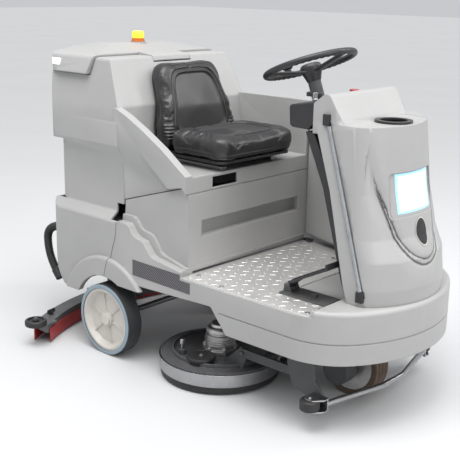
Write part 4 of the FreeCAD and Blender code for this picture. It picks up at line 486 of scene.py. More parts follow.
# %% [markdown]
# ## Vinyl
# The seat is covered in glossy black vinyl over foam.  Its skin is embossed with a small leather grain, it
# creases where it is bent, and it is polished where the driver sits.  Cells from a Voronoi pattern make the
# pebbles, and a clear coat gives the long highlights.


# %% Seat vinyl
def seat_vinyl():
    made = Finish("seat_vinyl", 0.3, Specular_IOR_Level=0.4, Coat_Weight=0.2, Coat_Roughness=0.22)
    tree = made.tree
    sockets = {"Vector": object_place(tree), "Scale": 420.0}
    cells = node(tree, "ShaderNodeTexVoronoi", sockets, feature="SMOOTH_F1").outputs[0]
    creases = noise(tree, object_place(tree, scale=(1, 0.35, 1)), 55.0, 5.0)
    cloud = made.pattern("mottle", Scale=7.0)["Value"]
    made.colour(blend_colours(tree, cloud, rgb(0.017, 0.016, 0.017), rgb(0.028, 0.026, 0.027)))
    made.rough(cloud, 0.34, 0.46)
    pebbles = maths(tree, "MULTIPLY", cells, 0.35)
    made.bump(maths(tree, "ADD", pebbles, maths(tree, "MULTIPLY", creases, 0.45)), 0.0004)
    return made


# %% [markdown]
# ## Clear and lit parts
# The sight tube and the lamp cover are clear plastic, and the beacon and the marker strips are tinted ones
# with light behind them.  Light that comes from inside is given as emission with a pattern, brightest where
# the lamp is, so that the part doesn't read as a flat sticker.


# %% Clear and lit finishes
def clear_tube():
    made = Finish("clear_tube", 0.12, Transmission_Weight=0.55, IOR=1.45)
    cloud = made.pattern("mottle", Scale=30.0)["Value"]
    made.colour(blend_colours(made.tree, cloud, rgb(0.52, 0.54, 0.56), rgb(0.38, 0.4, 0.42)))
    made.rough(cloud, 0.1, 0.22)
    made.bump(made.pattern("grain", Scale=200.0)["Height"], 0.00005)
    return made


def glowing(name, core, rim, strength, middle, reach, smooth=0.12):
    """A tinted part that glows, from its core colour in the middle to its rim colour."""
    made = Finish(name, smooth, Emission_Strength=strength, Coat_Weight=0.5, Coat_Roughness=0.05)
    tree = made.tree
    shift = object_place(tree, move=[-amount for amount in middle])
    away = node(tree, "ShaderNodeVectorMath", {0: shift}, operation="LENGTH").outputs["Value"]
    cloud = made.pattern("mottle", Scale=40.0)["Value"]
    spread = maths(tree, "ADD", ramp(tree, away, reach * 0.35, reach), maths(tree, "MULTIPLY", cloud, 0.12))
    glow = blend_colours(tree, node(tree, "ShaderNodeClamp", {0: spread}).outputs[0], core, rim)
    made.colour(glow)
    tree.links.new(glow, made.shader.inputs["Emission Color"])
    made.rough(cloud, smooth, smooth + 0.12)
    made.bump(made.pattern("grain", Scale=160.0)["Height"], 0.00012)
    return made


def middle_of(name):
    low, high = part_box(name)
    return (low + high) / 2


LAMP_HALF_WIDTH = 0.100
LAMP_HALF_HEIGHT = 0.066


def lamp_lens():
    """A bright square core whose light turns blue towards a frame in the body's colour."""
    made = Finish("lamp_lens", 0.1, Emission_Strength=0.85, Coat_Weight=0.6, Coat_Roughness=0.04)
    tree = made.tree
    core = middle_of("headlight_lens") + Vector((0, 0, 0.004))
    shift = object_place(tree, move=[-amount for amount in core])
    apart = parts_of(tree, shift)
    across = maths(tree, "DIVIDE", maths(tree, "ABSOLUTE", apart["Y"]), LAMP_HALF_WIDTH)
    up = maths(tree, "DIVIDE", maths(tree, "ABSOLUTE", apart["Z"]), LAMP_HALF_HEIGHT)
    frame_share = maths(tree, "MAXIMUM", across, up)
    cloud = made.pattern("mottle", Scale=60.0)["Value"]
    rim = ramp(tree, maths(tree, "ADD", frame_share, maths(tree, "MULTIPLY", cloud, 0.05)), 0.62, 1.0)
    glow = blend_colours(tree, rim, rgb(1.0, 1.0, 1.0), rgb(0.24, 0.56, 0.86))
    outside = ramp(tree, frame_share, 1.0, 1.03)
    made.colour(blend_colours(tree, outside, glow, BODY_LIGHT))
    lit = blend_colours(tree, outside, glow, rgb(0.0, 0.0, 0.0))
    tree.links.new(lit, made.shader.inputs["Emission Color"])
    made.rough(cloud, 0.08, 0.2)
    made.bump(made.pattern("grain", Scale=160.0)["Height"], 0.00012)
    return made


def marker_white():
    return glowing("marker_white", rgb(0.95, 0.97, 1.0), rgb(0.95, 0.97, 1.0), 1.2,
                   middle_of("light_strips"), 1.0, 0.2)


def beacon_yellow():
    return glowing("beacon_yellow", rgb(0.95, 0.72, 0.06), rgb(0.90, 0.62, 0.03), 0.55,
                   middle_of("beacon_lens"), 0.03)


def gloss_plastic(name, light, dark):
    return plain_finish(name, light, dark, light, 0.16, 0.28, grain=300.0, depth=0.00002, Coat_Weight=0.3)


def beacon_orange():
    return gloss_plastic("beacon_orange", rgb(0.62, 0.16, 0.01), rgb(0.42, 0.09, 0.008))


def stop_red():
    return gloss_plastic("stop_red", rgb(0.50, 0.012, 0.012), rgb(0.36, 0.008, 0.008))


FINISHES = {}
for build in (body_shell, black_plastic, frame_paint, deck_paint, tread_aluminium, bright_steel,
              cast_aluminium, wheel_plastic, grey_tyre, drive_tread, black_rubber, red_rubber, seat_vinyl,
              clear_tube, lamp_lens, marker_white, beacon_yellow, beacon_orange, stop_red, battery_case,
              bristle):
    FINISHES[build.__name__] = build().material
print("finishes", len(FINISHES))

# %% [markdown]
# ## Finishes on the pieces of the frame
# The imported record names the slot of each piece, so the finishes go on in one loop.

# %% Put the finishes on
SLOT_OF = {part["node"]: part["material_slot"] for part in frame["record"]["subparts"]}
for name, piece in frame["nodes"].items():
    piece.data.materials.clear()
    piece.data.materials.append(FINISHES[SLOT_OF[name]])
print("pieces finished", len(SLOT_OF))
BODY_OF = {name: piece["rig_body"] for name, piece in frame["nodes"].items()}


# %% [markdown]
# ## Making and registering a piece
# Every new piece is drawn in one bmesh, becomes an object at the origin, rides on a body and takes its
# finish from a slot.  One function does that, so that each piece below is only its shape.


# %% Piece helpers
def to_object(name, work, body, slot, smooth_angle=40, replaced=()):
    """The finished mesh as a piece on its body, smooth except over edges sharper than the angle."""
    mesh = bpy.data.meshes.new(name)
    work.to_mesh(mesh)
    work.free()
    for face in mesh.polygons:
        face.use_smooth = True
    mesh.set_sharp_from_angle(angle=math.radians(smooth_angle))
    mesh.materials.append(FINISHES[slot])
    piece = link(bpy.data.objects.new(name, mesh))
    if replaced:
        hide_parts(*replaced)
    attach(piece, body)
    return piece


def merged_copy(name):
    """A closed, editable copy of a frame piece."""
    work = bmesh.new()
    work.from_mesh(frame["nodes"][name].data)
    bmesh.ops.remove_doubles(work, verts=work.verts, dist=0.01 * MM)
    return work


def clean(work):
    """Doubles merged, and faces turned outwards."""
    bmesh.ops.remove_doubles(work, verts=work.verts, dist=0.005 * MM)
    bmesh.ops.recalc_face_normals(work, faces=work.faces)
    return work


def rise(value, low, high):
    """0 below low, 1 above high, and a smooth climb between; low may be the larger one."""
    share = min(max((value - low) / (high - low), 0.0), 1.0)
    return share * share * (3 - 2 * share)


def bell(value, middle, width):
    return math.exp(-((value - middle) / width) ** 2)


# %% [markdown]
# ## Mouldings with rounded edges
# A real moulding has no sharp edge: the powder can't fill one.  A copy of each moulding has its flat faces
# joined up again and gets a real bevel on every edge that turns more than a set angle, which catches the
# light as a thin bright line.

# %% Round the mouldings' edges
ROUNDED = {
    "recovery_tank": 5.0, "base_body": 4.5, "tank_lid": 3.0,
    "left_side_wall": 4.0, "dash_box": 2.0, "column_cover": 2.5,
}


def round_moulding(name, radius):
    work = merged_copy(name)
    bmesh.ops.dissolve_limit(work, angle_limit=math.radians(0.6), verts=work.verts, edges=work.edges)
    piece = to_object(name + "_shell", work, BODY_OF[name], SLOT_OF[name], 35, [name])
    rounding = piece.modifiers.new("rounding", "BEVEL")
    rounding.width = radius * MM
    rounding.segments = 3
    rounding.limit_method = "ANGLE"
    rounding.angle_limit = math.radians(38)
    rounding.harden_normals = True
    return piece


for name, radius in ROUNDED.items():
    piece = round_moulding(name, radius)
    print("rounded", name, "of", len(piece.data.polygons), "faces")

# %% [markdown]
# ## The nose's tongue
# A broad raised tongue runs down the nose, round the lamp, and ends in a U above the skirt.  The flat
# faces of the moulding are first cut into a fine grid by planes, and then the points beside the tongue
# sink by a smooth profile.  Cutting keeps every edge of the moulding, which a remesh would blur.

# %% Press the flutes beside the tongue
TONGUE_END = 0.612         # height of the U's arc centre
TONGUE_LOW_HALF = 0.088
TONGUE_TOP_HALF = 0.170
FLUTE_DEPTH = 0.008


def flute_depth(point):
    """How deep the surface sinks beside and under the tongue."""
    up = rise(point.z, TONGUE_END, 0.99)
    half = TONGUE_LOW_HALF + (TONGUE_TOP_HALF - TONGUE_LOW_HALF) * up
    below = max(TONGUE_END + half - point.z, 0.0)
    reach = math.hypot(point.y, below) - half
    return FLUTE_DEPTH * rise(reach, -0.006, 0.026) * rise(reach, 0.095, 0.026) * rise(point.z, 1.02, 0.95)


work = merged_copy("nose_tank")
FRONT_X = 0.72
CUTS = ((1, -0.24, 0.24, 0.008), (2, 0.50, 1.03, 0.012))       # axis, first cut, last cut and gap
for axis, start, stop, gap in CUTS:
    direction = Vector((0, 0, 0))
    direction[axis] = 1
    place = start
    while place < stop:
        faces = [face for face in work.faces if max(corner.co.x for corner in face.verts) > FRONT_X]
        around = {item for face in faces for item in (face, *face.edges, *face.verts)}
        bmesh.ops.bisect_plane(work, geom=list(around), dist=0.00001, plane_co=direction * place,
                               plane_no=direction)
        place += gap
work.normal_update()
for vertex in work.verts:
    if vertex.normal.x > 0.25 and vertex.co.x > FRONT_X:
        vertex.co.x -= flute_depth(vertex.co)
nose = to_object("nose_tank_shell", work, BODY_OF["nose_tank"], SLOT_OF["nose_tank"], 24, ["nose_tank"])
even_shading = nose.modifiers.new("even_shading", "WEIGHTED_NORMAL")
even_shading.keep_sharp = True
even_shading.weight = 100
print("nose of", len(nose.data.polygons), "faces")

# %% [markdown]
# ## Building blocks for small pieces
# Most hardware is either turned, like a cap on a lathe, or a block with broken edges.  Two helpers draw
# those, and a third runs a tube along a smooth line.  Each returns an open bmesh, so that a piece made of
# several shapes is gathered into one mesh before it becomes an object.


# %% Turned shapes, blocks and tubes
def stand(place, direction=(0, 0, 1), turn=0.0):
    """The move that stands a shape drawn on Z at a place, along a direction."""
    lean = Vector((0, 0, 1)).rotation_difference(Vector(direction)).to_matrix().to_4x4()
    return Matrix.Translation(Vector(place)) @ lean @ Matrix.Rotation(turn, 4, "Z")


def spin_round(work, steps):
    """Everything in the mesh, spun once round Z."""
    bmesh.ops.spin(work, geom=work.verts[:] + work.edges[:], cent=(0, 0, 0), axis=(0, 0, 1),
                   angle=2 * math.pi, steps=steps, use_merge=True, use_duplicate=False)


def spun_line(outline, steps):
    """The surface that a line of (radius, height) points sweeps round Z."""
    work = bmesh.new()
    points = [work.verts.new((radius, 0, height)) for radius, height in outline]
    for pair in zip(points, points[1:]):
        work.edges.new(pair)
    spin_round(work, steps)
    return work


def turned(outline, steps=48, place=Matrix.Identity(4)):
    """A closed turned shape from its outline of (radius, height) points."""
    work = clean(spun_line(outline, steps))
    bmesh.ops.transform(work, matrix=place, verts=work.verts)
    return work


def block(size, place=Matrix.Identity(4), bevel=0.001, segments=3):
    """A box with rounded edges, drawn about its middle."""
    work = bmesh.new()
    bmesh.ops.create_cube(work, size=1)
    bmesh.ops.scale(work, vec=size, verts=work.verts)
    bmesh.ops.bevel(work, geom=work.edges[:], offset=bevel, affect="EDGES", segments=segments, profile=0.5,
                    material=-1)
    bmesh.ops.transform(work, matrix=place, verts=work.verts)
    return work


def gather(shapes):
    """Several shapes in one mesh."""
    whole = bmesh.new()
    for shape in shapes:
        mesh = bpy.data.meshes.new("part")
        shape.to_mesh(mesh)
        shape.free()
        whole.from_mesh(mesh)
        bpy.data.meshes.remove(mesh)
    return whole


def new_line(kind, points):
    """A curve object's data with one spline through the points."""
    curve = bpy.data.curves.new("line", "CURVE")
    curve.dimensions = "3D"
    run = curve.splines.new(kind)
    run.points.add(len(points) - 1)
    for spot, place in zip(run.points, points):
        spot.co = (*place, 1)
    return curve, run


def curve_mesh(curve):
    """The mesh of a curve, which is used up."""
    holder = bpy.data.objects.new("line", curve)
    mesh = bpy.data.meshes.new_from_object(holder)
    bpy.data.objects.remove(holder)
    bpy.data.curves.remove(curve)
    return mesh


def line_mesh(points, radius, closed=False, swell=None, sides=4):
    """A round tube through the points, with an own radius factor for each point where swell is given."""
    curve, run = new_line("POLY", points)
    curve.bevel_depth = radius
    curve.bevel_resolution = sides
    curve.use_fill_caps = not closed
    run.use_cyclic_u = closed
    for spot, factor in zip(run.points, swell or ()):
        spot.radius = factor
    mesh = curve_mesh(curve)
    work = bmesh.new()
    work.from_mesh(mesh)
    bpy.data.meshes.remove(mesh)
    return clean(work)


def smooth_route(points, count):
    """The points that a NURBS line of order 3 runs through, with the count of steps between two."""
    curve, run = new_line("NURBS", points)
    curve.resolution_u = count
    run.order_u = 3
    run.use_endpoint_u = True
    mesh = curve_mesh(curve)
    route = [vertex.co.copy() for vertex in mesh.vertices]
    bpy.data.meshes.remove(mesh)
    return route

# %% [markdown]
# ## Seat
# The seat is moulded foam under black vinyl: a fat rolled rim runs round the cushion and up the backrest,
# and a seam with piping holds a sunk panel inside it.  Each pad starts as its plain block, is remeshed into
# even faces, rounded, and blown up by cloth pressure, which gives the tight crown of real foam.  The seams,
# the dish and the pleats are pressed in afterwards, because a remesh would lose them.


# %% Blow up a pad
VOXEL = 0.005
SWELL_CAP = 0.010


def settle(piece):
    """Apply all modifiers of a piece to its mesh."""
    graph = bpy.context.evaluated_depsgraph_get()
    mesh = bpy.data.meshes.new_from_object(piece.evaluated_get(graph))
    piece.modifiers.clear()
    piece.data = mesh


def swell(piece):
    """Cloth pressure for twenty frames, with no point moving more than the cap."""
    before = [vertex.co.copy() for vertex in piece.data.vertices]
    cloth = piece.modifiers.new("swell", "CLOTH")
    cloth.settings.use_pressure = True
    cloth.settings.uniform_pressure_force = 4
    cloth.settings.effector_weights.gravity = 0
    for moment in range(1, 21):
        bpy.context.scene.frame_set(moment)
    settle(piece)
    bpy.context.scene.frame_set(1)
    for vertex, start in zip(piece.data.vertices, before):
        step = vertex.co - start
        if step.length > SWELL_CAP:
            vertex.co = start + step.normalized() * SWELL_CAP


def soft_pad(name, shrink, rounding, relief):
    """A pad in the place of a plain block, with its relief pressed in."""
    low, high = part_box(name)
    size = high - low
    work = merged_copy(name)
    factor = [1 - 2 * shrink / length for length in size]
    bmesh.ops.scale(work, vec=factor, space=Matrix.Translation(-(low + high) / 2), verts=work.verts)
    mesh = bpy.data.meshes.new(name + "_pad")
    work.to_mesh(mesh)
    work.free()
    piece = link(bpy.data.objects.new(name + "_pad", mesh))
    remesh = piece.modifiers.new("even_faces", "REMESH")
    remesh.mode = "VOXEL"
    remesh.voxel_size = VOXEL
    soften = piece.modifiers.new("rounding", "SMOOTH")
    soften.factor = 0.5
    soften.iterations = rounding
    settle(piece)
    swell(piece)
    finer = piece.modifiers.new("finer", "SUBSURF")
    finer.levels = 1
    finer.render_levels = 1
    settle(piece)
    for vertex in piece.data.vertices:
        vertex.co += relief(vertex.co, low, high)
    for face in piece.data.polygons:
        face.use_smooth = True
    piece.data.materials.clear()
    piece.data.materials.append(FINISHES["seat_vinyl"])
    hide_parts(name)
    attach(piece, BODY_OF[name])
    return piece


# %% Cushion
def middle_and_half(low, high):
    return (low + high) / 2, (high - low) / 2


def cushion_reach(point, low, high):
    """0 in the middle of the cushion and 1 at its rim, on a rounded square."""
    middle, half = middle_and_half(low, high)
    along = (point.x - middle.x) / half.x
    across = (point.y - middle.y) / half.y
    return along, across, (abs(along) ** 4 + abs(across) ** 4) ** 0.25


def cushion_relief(point, low, high):
    along, across, reach = cushion_reach(point, low, high)
    height = (point.z - low.z) / (high.z - low.z)
    top = rise(height, 0.35, 0.85)
    pommel = bell(across, 0.0, 0.2) * rise(along, -0.25, 0.5)
    dish = 0.019 * rise(reach, 0.74, 0.50) * (1 - 0.75 * pommel)
    seam = 0.007 * bell(reach, 0.70, 0.035)
    front_roll = 0.010 * rise(along, 0.35, 0.95) * bell(across, 0.0, 0.45)
    pleat = 0.0026 * math.cos(point.x / 0.0135 * 2 * math.pi)
    pleats = pleat * rise(along, -0.62, -0.7) * rise(abs(across), 0.7, 0.8) * rise(reach, 0.7, 0.85)
    waist = 0.005 * bell(height, 0.22, 0.10)
    sides = Vector((along, across, 0)).normalized() * -waist * rise(reach, 0.8, 0.95)
    return Vector((0, 0, (pleats - dish - seam - front_roll) * top)) + sides


cushion = soft_pad("seat_cushion", 0.004, 70, cushion_relief)
print("cushion of", len(cushion.data.polygons), "faces")


# %% Backrest
PANEL_MIDDLE = 0.53      # height of the sunk panel's middle, as a share of the backrest
PANEL_HALF = 0.36
RIM_ROLL = 0.056         # width of the rolled rim
BACK_HALF = 0.215
BACK_TAPER = 0.049


def back_half_width(height):
    """The backrest narrows towards its round shoulders."""
    return BACK_HALF - BACK_TAPER * min(max((height - 0.28) / 0.72, 0.0), 1.0)


def back_reach(point, low, high):
    height = (point.z - low.z) / (high.z - low.z)
    across = point.y / (back_half_width(height) - RIM_ROLL)
    return height, (abs(across) ** 5 + abs((height - PANEL_MIDDLE) / PANEL_HALF) ** 5) ** 0.2


def back_rear(height):
    """The rear face leans back, more above the driver's loins."""
    return -0.286 - 0.020 * min(height / 0.5, 1.0) - 0.066 * max((height - 0.5) / 0.43, 0.0)


def back_relief(point, low, high):
    height, reach = back_reach(point, low, high)
    front = rise((point.x - back_rear(height)) / 0.072, 0.45, 0.85)
    seam = 0.008 * bell(reach, 1.03, 0.045)
    dish = 0.011 * rise(reach, 1.02, 0.86) - 0.004 * rise(reach, 0.8, 0.0)
    edge = rise(abs(point.y) / back_half_width(height), 0.72, 0.82)
    pleat = 0.0026 * math.cos(point.z / 0.0135 * 2 * math.pi)
    pleats = pleat * edge * rise(height, 0.10, 0.14) * rise(height, 0.32, 0.28)
    return Vector(((pleats - seam - dish) * front, 0, 0))


backrest = soft_pad("seat_back", 0.004, 50, back_relief)
print("backrest of", len(backrest.data.polygons), "faces")


# %% Piping along the seams
def surface_of(piece):
    return BVHTree.FromPolygons([vertex.co for vertex in piece.data.vertices],
                                [face.vertices for face in piece.data.polygons])


def squircle(share, power):
    """A point on a rounded square of half size 1, in the direction at a share of the whole turn."""
    side = math.cos(share * 2 * math.pi)
    high = math.sin(share * 2 * math.pi)
    reach = (abs(side) ** power + abs(high) ** power) ** (-1 / power)
    return side * reach, high * reach


def piping(name, piece, rays, radius):
    """A cord of vinyl laid where rays meet the pad."""
    skin = surface_of(piece)
    points = []
    for start, direction in rays:
        hit = skin.ray_cast(Vector(start), Vector(direction))[0]
        if hit is not None and (not points or (hit - points[-1]).length > 0.002):
            points.append(hit)
    work = line_mesh(points, radius, closed=True, sides=3)
    cord = to_object(name, work, "seat", "seat_vinyl")
    print(name, "through", len(points), "points")
    return cord


def cushion_rays(count=160):
    low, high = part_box("seat_cushion")
    middle, half = middle_and_half(low, high)
    for step in range(count):
        along, across = squircle(step / count, 4)
        yield (middle.x + along * half.x * 0.655, across * half.y * 0.655, high.z + 0.1), (0, 0, -1)


def back_rays(count=160):
    low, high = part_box("seat_back")
    for step in range(count):
        across, up = squircle(step / count, 5)
        height = PANEL_MIDDLE + up * PANEL_HALF * 0.955
        side = across * (back_half_width(height) - RIM_ROLL) * 0.955
        yield (high.x + 0.2, side, low.z + height * (high.z - low.z)), (-1, 0, 0)


def cushion_skirt_rays(count=200):
    low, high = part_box("seat_cushion")
    middle, half = middle_and_half(low, high)
    for step in range(count):
        along, across = squircle(step / count, 6)
        place = Vector((middle.x + along * half.x * 1.4, across * half.y * 1.4, low.z + 0.022))
        yield place, (Vector((middle.x, 0, place.z)) - place).normalized()


def back_edge_rays(count=200):
    low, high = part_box("seat_back")
    middle = Vector((-0.275, 0, (low.z + high.z) / 2))
    for step in range(count):
        angle = step / count * 2 * math.pi
        away = Vector((-0.21 * math.sin(angle), math.cos(angle), math.sin(angle)))
        yield middle + away * 0.5, -away.normalized()


piping("cushion_piping", cushion, cushion_rays(), 0.0026)
piping("backrest_piping", backrest, back_rays(), 0.0026)
piping("cushion_lower_piping", cushion, cushion_skirt_rays(), 0.0028)
piping("backrest_edge_piping", backrest, back_edge_rays(), 0.0028)

# %% [markdown]
# ## Steering wheel
# The rim is moulded round a steel ring and has shallow finger grips underneath.  A circle spun round the
# column's axis makes the rim, a wave pushed into its inner and lower side makes the grips, and three broad
# spokes drop to a turned boss.

# %% Steering wheel
STEER_TILT = math.radians(21)
RIM_R = 0.166
RIM_TUBE_R = 0.012
STEER_AXIS = Vector((-math.sin(STEER_TILT), 0, math.cos(STEER_TILT)))
WHEEL_PLACE = stand((0.321, 0, 1.214), STEER_AXIS)


def wheel_rim(grips=44):
    work = bmesh.new()
    bmesh.ops.create_circle(work, segments=20, radius=RIM_TUBE_R)
    upright = Matrix.Translation((RIM_R, 0, 0)) @ Matrix.Rotation(math.pi / 2, 4, "X")
    bmesh.ops.transform(work, matrix=upright, verts=work.verts)
    spin_round(work, grips * 6)
    clean(work)
    for vertex in work.verts:
        angle = math.atan2(vertex.co.y, vertex.co.x)
        middle = Vector((math.cos(angle), math.sin(angle), 0)) * RIM_R
        out = vertex.co - middle
        inner = rise(-out.z - 0.6 * out.dot(middle) / RIM_R, 0.0, RIM_TUBE_R)
        vertex.co = middle + out * (1 - 0.075 * inner * (1 + math.cos(grips * angle)))
    return work


def wheel_spoke(angle):
    work = block((0.142, 0.030, 0.010), bevel=0.004)
    for vertex in work.verts:
        vertex.co.y *= 1.25 - vertex.co.x / 0.142 * 0.7
    lift = Matrix.Translation((0.093, 0, -0.015)) @ Matrix.Rotation(-math.atan2(0.026, 0.141), 4, "Y")
    bmesh.ops.transform(work, matrix=Matrix.Rotation(angle, 4, "Z") @ lift, verts=work.verts)
    return work


def steering_wheel():
    knob_low, knob_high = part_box("spinner_knob")
    knob = WHEEL_PLACE.inverted() @ ((knob_low + knob_high) / 2)
    boss = [(0, -0.062), (0.026, -0.062), (0.031, -0.046), (0.039, -0.026), (0.041, -0.012), (0.037, -0.002),
            (0.031, 0.002), (0.029, 0.0), (0.027, 0.001), (0, 0.004)]
    shapes = [wheel_rim(), turned(boss), turned([(0, -0.175), (0.012, -0.175), (0.012, -0.05), (0, -0.05)]),
              turned([(0, -0.004), (0.005, -0.004), (0.005, 0.032), (0, 0.032)], 20,
                     Matrix.Translation((knob.x, knob.y, 0)))]
    shapes += [wheel_spoke(angle * math.pi / 180) for angle in (0, 120, 240)]
    work = gather(shapes)
    bmesh.ops.transform(work, matrix=WHEEL_PLACE, verts=work.verts)
    return to_object("steering_wheel_moulded", work, "steering", "black_plastic", 35, ["steering_wheel"])


print("steering wheel of", len(steering_wheel().data.polygons), "faces")

# %% [markdown]
# ## Drain hose
# A corrugated hose hangs behind the tank from its outlet to a clip.  It follows one NURBS line, and the
# ribs are a tube whose radius goes up and down along that line.

# %% Drain hose
HOSE_R = 0.019
HOSE_Y = -0.318
RIB_PITCH = 0.0072
HOSE_LOOP_X = cad_low.x + HOSE_R
HOSE_ROUTE = [(-0.716, HOSE_Y, 0.452), (HOSE_LOOP_X, HOSE_Y, 0.452), (HOSE_LOOP_X, HOSE_Y, 0.296),
              (-0.818, HOSE_Y, 0.240)]


def even_points(route, gap):
    """Points at an equal distance from each other along a route."""
    points = [route[0]]
    left = gap
    for start, end in zip(route, route[1:]):
        run = (end - start).length
        along = left
        while along <= run:
            points.append(start.lerp(end, along / run))
            along += gap
        left = along - run
    return points


def drain_hose():
    points = even_points(smooth_route(HOSE_ROUTE, 40), RIB_PITCH / 6)
    ribs = [0.93 + 0.07 * math.cos(index * math.pi / 3) for index in range(len(points))]
    work = line_mesh(points, HOSE_R, swell=ribs, sides=5)
    return to_object("drain_hose_ribbed", work, "tank", "black_rubber", 70, ["drain_hose"])


print("drain hose of", len(drain_hose().data.polygons), "faces")

# %% [markdown]
# ## Brush deck
# Each brush motor is a cast housing with a lugged flange, turned steps and fins.  A round cover with one
# bolt sits beside it, over the brush release.

# %% Motors and covers on the brush deck
RING_X = 0.095
RING_Y = 0.215
DECK_TOP = 0.0901
COVER_X = 0.125
COVER_Y = 0.356


def bolt_head(radius, height, place):
    """A hexagon head on a washer."""
    seat = height * 0.3
    washer = turned([(0, 0), (radius * 1.45, 0), (radius * 1.45, seat), (0, seat)], 20, place)
    head = [(0, seat), (radius, seat), (radius, height * 0.9), (radius * 0.85, height), (0, height)]
    return [washer, turned(head, 6, place)]


def motor_housing(side):
    place = Matrix.Translation((RING_X, side * RING_Y, 0))
    outline = [(0, 0.0905), (0.065, 0.0905), (0.066, 0.092), (0.066, 0.103), (0.061, 0.108), (0.058, 0.109),
               (0.058, 0.118)]
    for level in (0.118, 0.128, 0.138):
        outline += [(0.061, level + 0.002), (0.061, level + 0.007), (0.0575, level + 0.009)]
    outline += [(0.0575, 0.160), (0.050, 0.164), (0.050, 0.168), (0.056, 0.171), (0.056, 0.184),
                (0.051, 0.190), (0.038, 0.193), (0.037, 0.202), (0.034, 0.205), (0, 0.205)]
    shaft = [(0, 0.033), (0.010, 0.033), (0.010, 0.092), (0, 0.092)]
    shapes = [turned(outline, 64, place), turned(shaft, 24, place)]
    for step in range(6):
        angle = (step + 0.5) * math.pi / 3
        spot = place @ Vector((0.0615 * math.cos(angle), 0.0615 * math.sin(angle), 0))
        lug = [(0, 0.0905), (0.0095, 0.0905), (0.0095, 0.113), (0.008, 0.115), (0, 0.115)]
        shapes.append(turned(lug, 20, Matrix.Translation(spot)))
        shapes += bolt_head(0.0045, 0.006, Matrix.Translation(spot + Vector((0, 0, 0.115))))
    return shapes


def cover_place(side, height=0.0):
    return Matrix.Translation((COVER_X, side * COVER_Y, DECK_TOP + height))


def deck_cover(side):
    outline = [(0, 0), (0.050, 0), (0.050, 0.012), (0.055, 0.014), (0.056, 0.017), (0.056, 0.023),
               (0.054, 0.027), (0.049, 0.0285), (0.047, 0.026), (0, 0.026)]
    return turned(outline, 56, cover_place(side))


motors = gather(motor_housing(-1) + motor_housing(1))
to_object("brush_motor_housings", motors, "scrub_deck", "cast_aluminium", 32, ["brush_motors"])
to_object("deck_covers", gather([deck_cover(-1), deck_cover(1)]), "scrub_deck", "black_plastic", 35)
cover_bolts = []
for side in (-1, 1):
    cover_bolts += bolt_head(0.006, 0.007, cover_place(side, 0.026))
to_object("deck_cover_bolts", gather(cover_bolts), "scrub_deck", "bright_steel", 30)
print("brush deck dressed")

# %% [markdown]
# ## Stickers and badges
# A sticker is a thin skin on the moulding.  Rays shot at the moulding lay a flat grid onto its curved face,
# and extruding it a hair gives it a thickness.  The artwork is only stripes, with no lettering.


# %% Skins laid on a moulding
def striped_finish():
    """A dark film with fine slanting stripes."""
    made = Finish("striped_film", 0.35, Coat_Weight=0.3, Coat_Roughness=0.2)
    tree = made.tree
    sockets = {"Vector": object_place(tree, turn=(0, math.radians(55), 0)), "Scale": 36.0}
    waves = node(tree, "ShaderNodeTexWave", sockets, wave_type="BANDS", bands_direction="X").outputs[1]
    stripes = ramp(tree, waves, 0.72, 0.86)
    made.colour(blend_colours(tree, stripes, rgb(0.020, 0.018, 0.021), rgb(0.16, 0.145, 0.165)))
    made.rough(made.pattern("mottle", Scale=30.0)["Value"], 0.28, 0.42)
    made.bump(made.pattern("grain", Scale=900.0)["Height"], 0.00003)
    return made.material


def lay_on(work, target, aim, lift):
    """Shoot each point at the target along the aim, and leave it lifted off the surface."""
    skin = surface_of(frame["nodes"][target])
    aim = Vector(aim)
    missed = 0
    for vertex in work.verts:
        hit = skin.ray_cast(vertex.co, aim)[0]
        if hit is None:
            missed += 1
        else:
            vertex.co = hit - aim * lift
    print("laid on", target, "with", missed, "points missed")


def film(name, work, body, slot, target, aim, lift, thickness=0.0004, material=None):
    lay_on(work, target, aim, lift)
    raised = bmesh.ops.extrude_face_region(work, geom=work.faces[:])["geom"]
    points = [item for item in raised if isinstance(item, bmesh.types.BMVert)]
    bmesh.ops.translate(work, vec=-Vector(aim) * thickness, verts=points)
    clean(work)
    piece = to_object(name, work, body, slot, 40)
    if material:
        piece.data.materials.clear()
        piece.data.materials.append(material)
    return piece


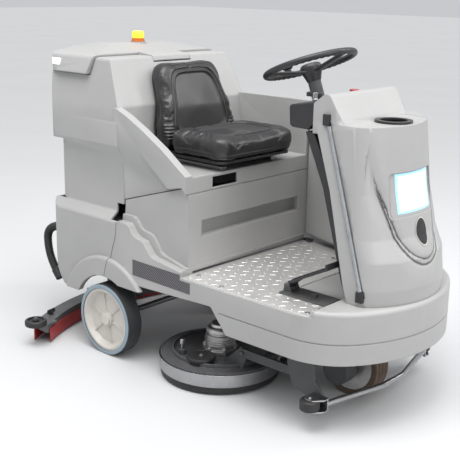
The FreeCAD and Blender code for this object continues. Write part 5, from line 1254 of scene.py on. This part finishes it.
def disc(centre, across, upward, rings=8, inside=0.0):
    """Rings of a unit disc, spread to the given half sizes in the plane that faces forward."""
    work = spun_line([(inside + (1 - inside) * step / rings, 0) for step in range(rings + 1)], 56)
    bmesh.ops.remove_doubles(work, verts=work.verts, dist=0.001)
    for vertex in work.verts:
        vertex.co = Vector((centre[0], centre[1] + vertex.co.x * across, centre[2] + vertex.co.y * upward))
    return work


# %% Side sticker
STICKER = Vector((-0.0435, -0.7, 0.4075))      # its middle, well outside the machine's right side
STICKER_HALF_LENGTH = 0.158
STICKER_HALF_HEIGHT = 0.032
STICKER_DROP = 0.002                           # from its middle to its front end

sticker = bmesh.new()
bmesh.ops.create_grid(sticker, x_segments=24, y_segments=6, size=1)
for vertex in sticker.verts:
    along = vertex.co.x
    high = vertex.co.y * STICKER_HALF_HEIGHT - along * STICKER_DROP
    vertex.co = STICKER + Vector((along * STICKER_HALF_LENGTH, 0, high))
film("side_sticker", sticker, "machine", "black_plastic", "base_body", (0, 1, 0), 0.0006,
     material=striped_finish())

# %% Nose badge
BADGE = (1.2, 0, 0.684)                        # its middle, well ahead of the nose
film("badge_rim", disc(BADGE, 0.036, 0.049, 3, 0.9), "machine", "wheel_plastic", "nose_tank", (-1, 0, 0),
     0.0012)
film("badge_face", disc(BADGE, 0.033, 0.0455), "machine", "black_plastic", "nose_tank", (-1, 0, 0), 0.0010)
print("stickers laid")

# %% [markdown]
# ## Floor
# A plain pale floor that runs out to the horizon, in the same tone as the studio behind it.

# %% Floor
def floor_finish():
    made = Finish("studio_floor", 0.6, Specular_IOR_Level=0.25)
    cloud = made.pattern("mottle", Scale=0.8)["Value"]
    made.colour(blend_colours(made.tree, cloud, rgb(0.54, 0.543, 0.546), rgb(0.52, 0.523, 0.527)))
    made.rough(cloud, 0.5, 0.62)
    made.bump(made.pattern("grain", Scale=120.0)["Height"], 0.0001)
    return made.material


floor_work = bmesh.new()
bmesh.ops.create_grid(floor_work, x_segments=4, y_segments=4, size=40)
floor_mesh = bpy.data.meshes.new("floor")
floor_work.to_mesh(floor_mesh)
floor_work.free()
floor_mesh.materials.append(floor_finish())
link(bpy.data.objects.new("floor", floor_mesh))
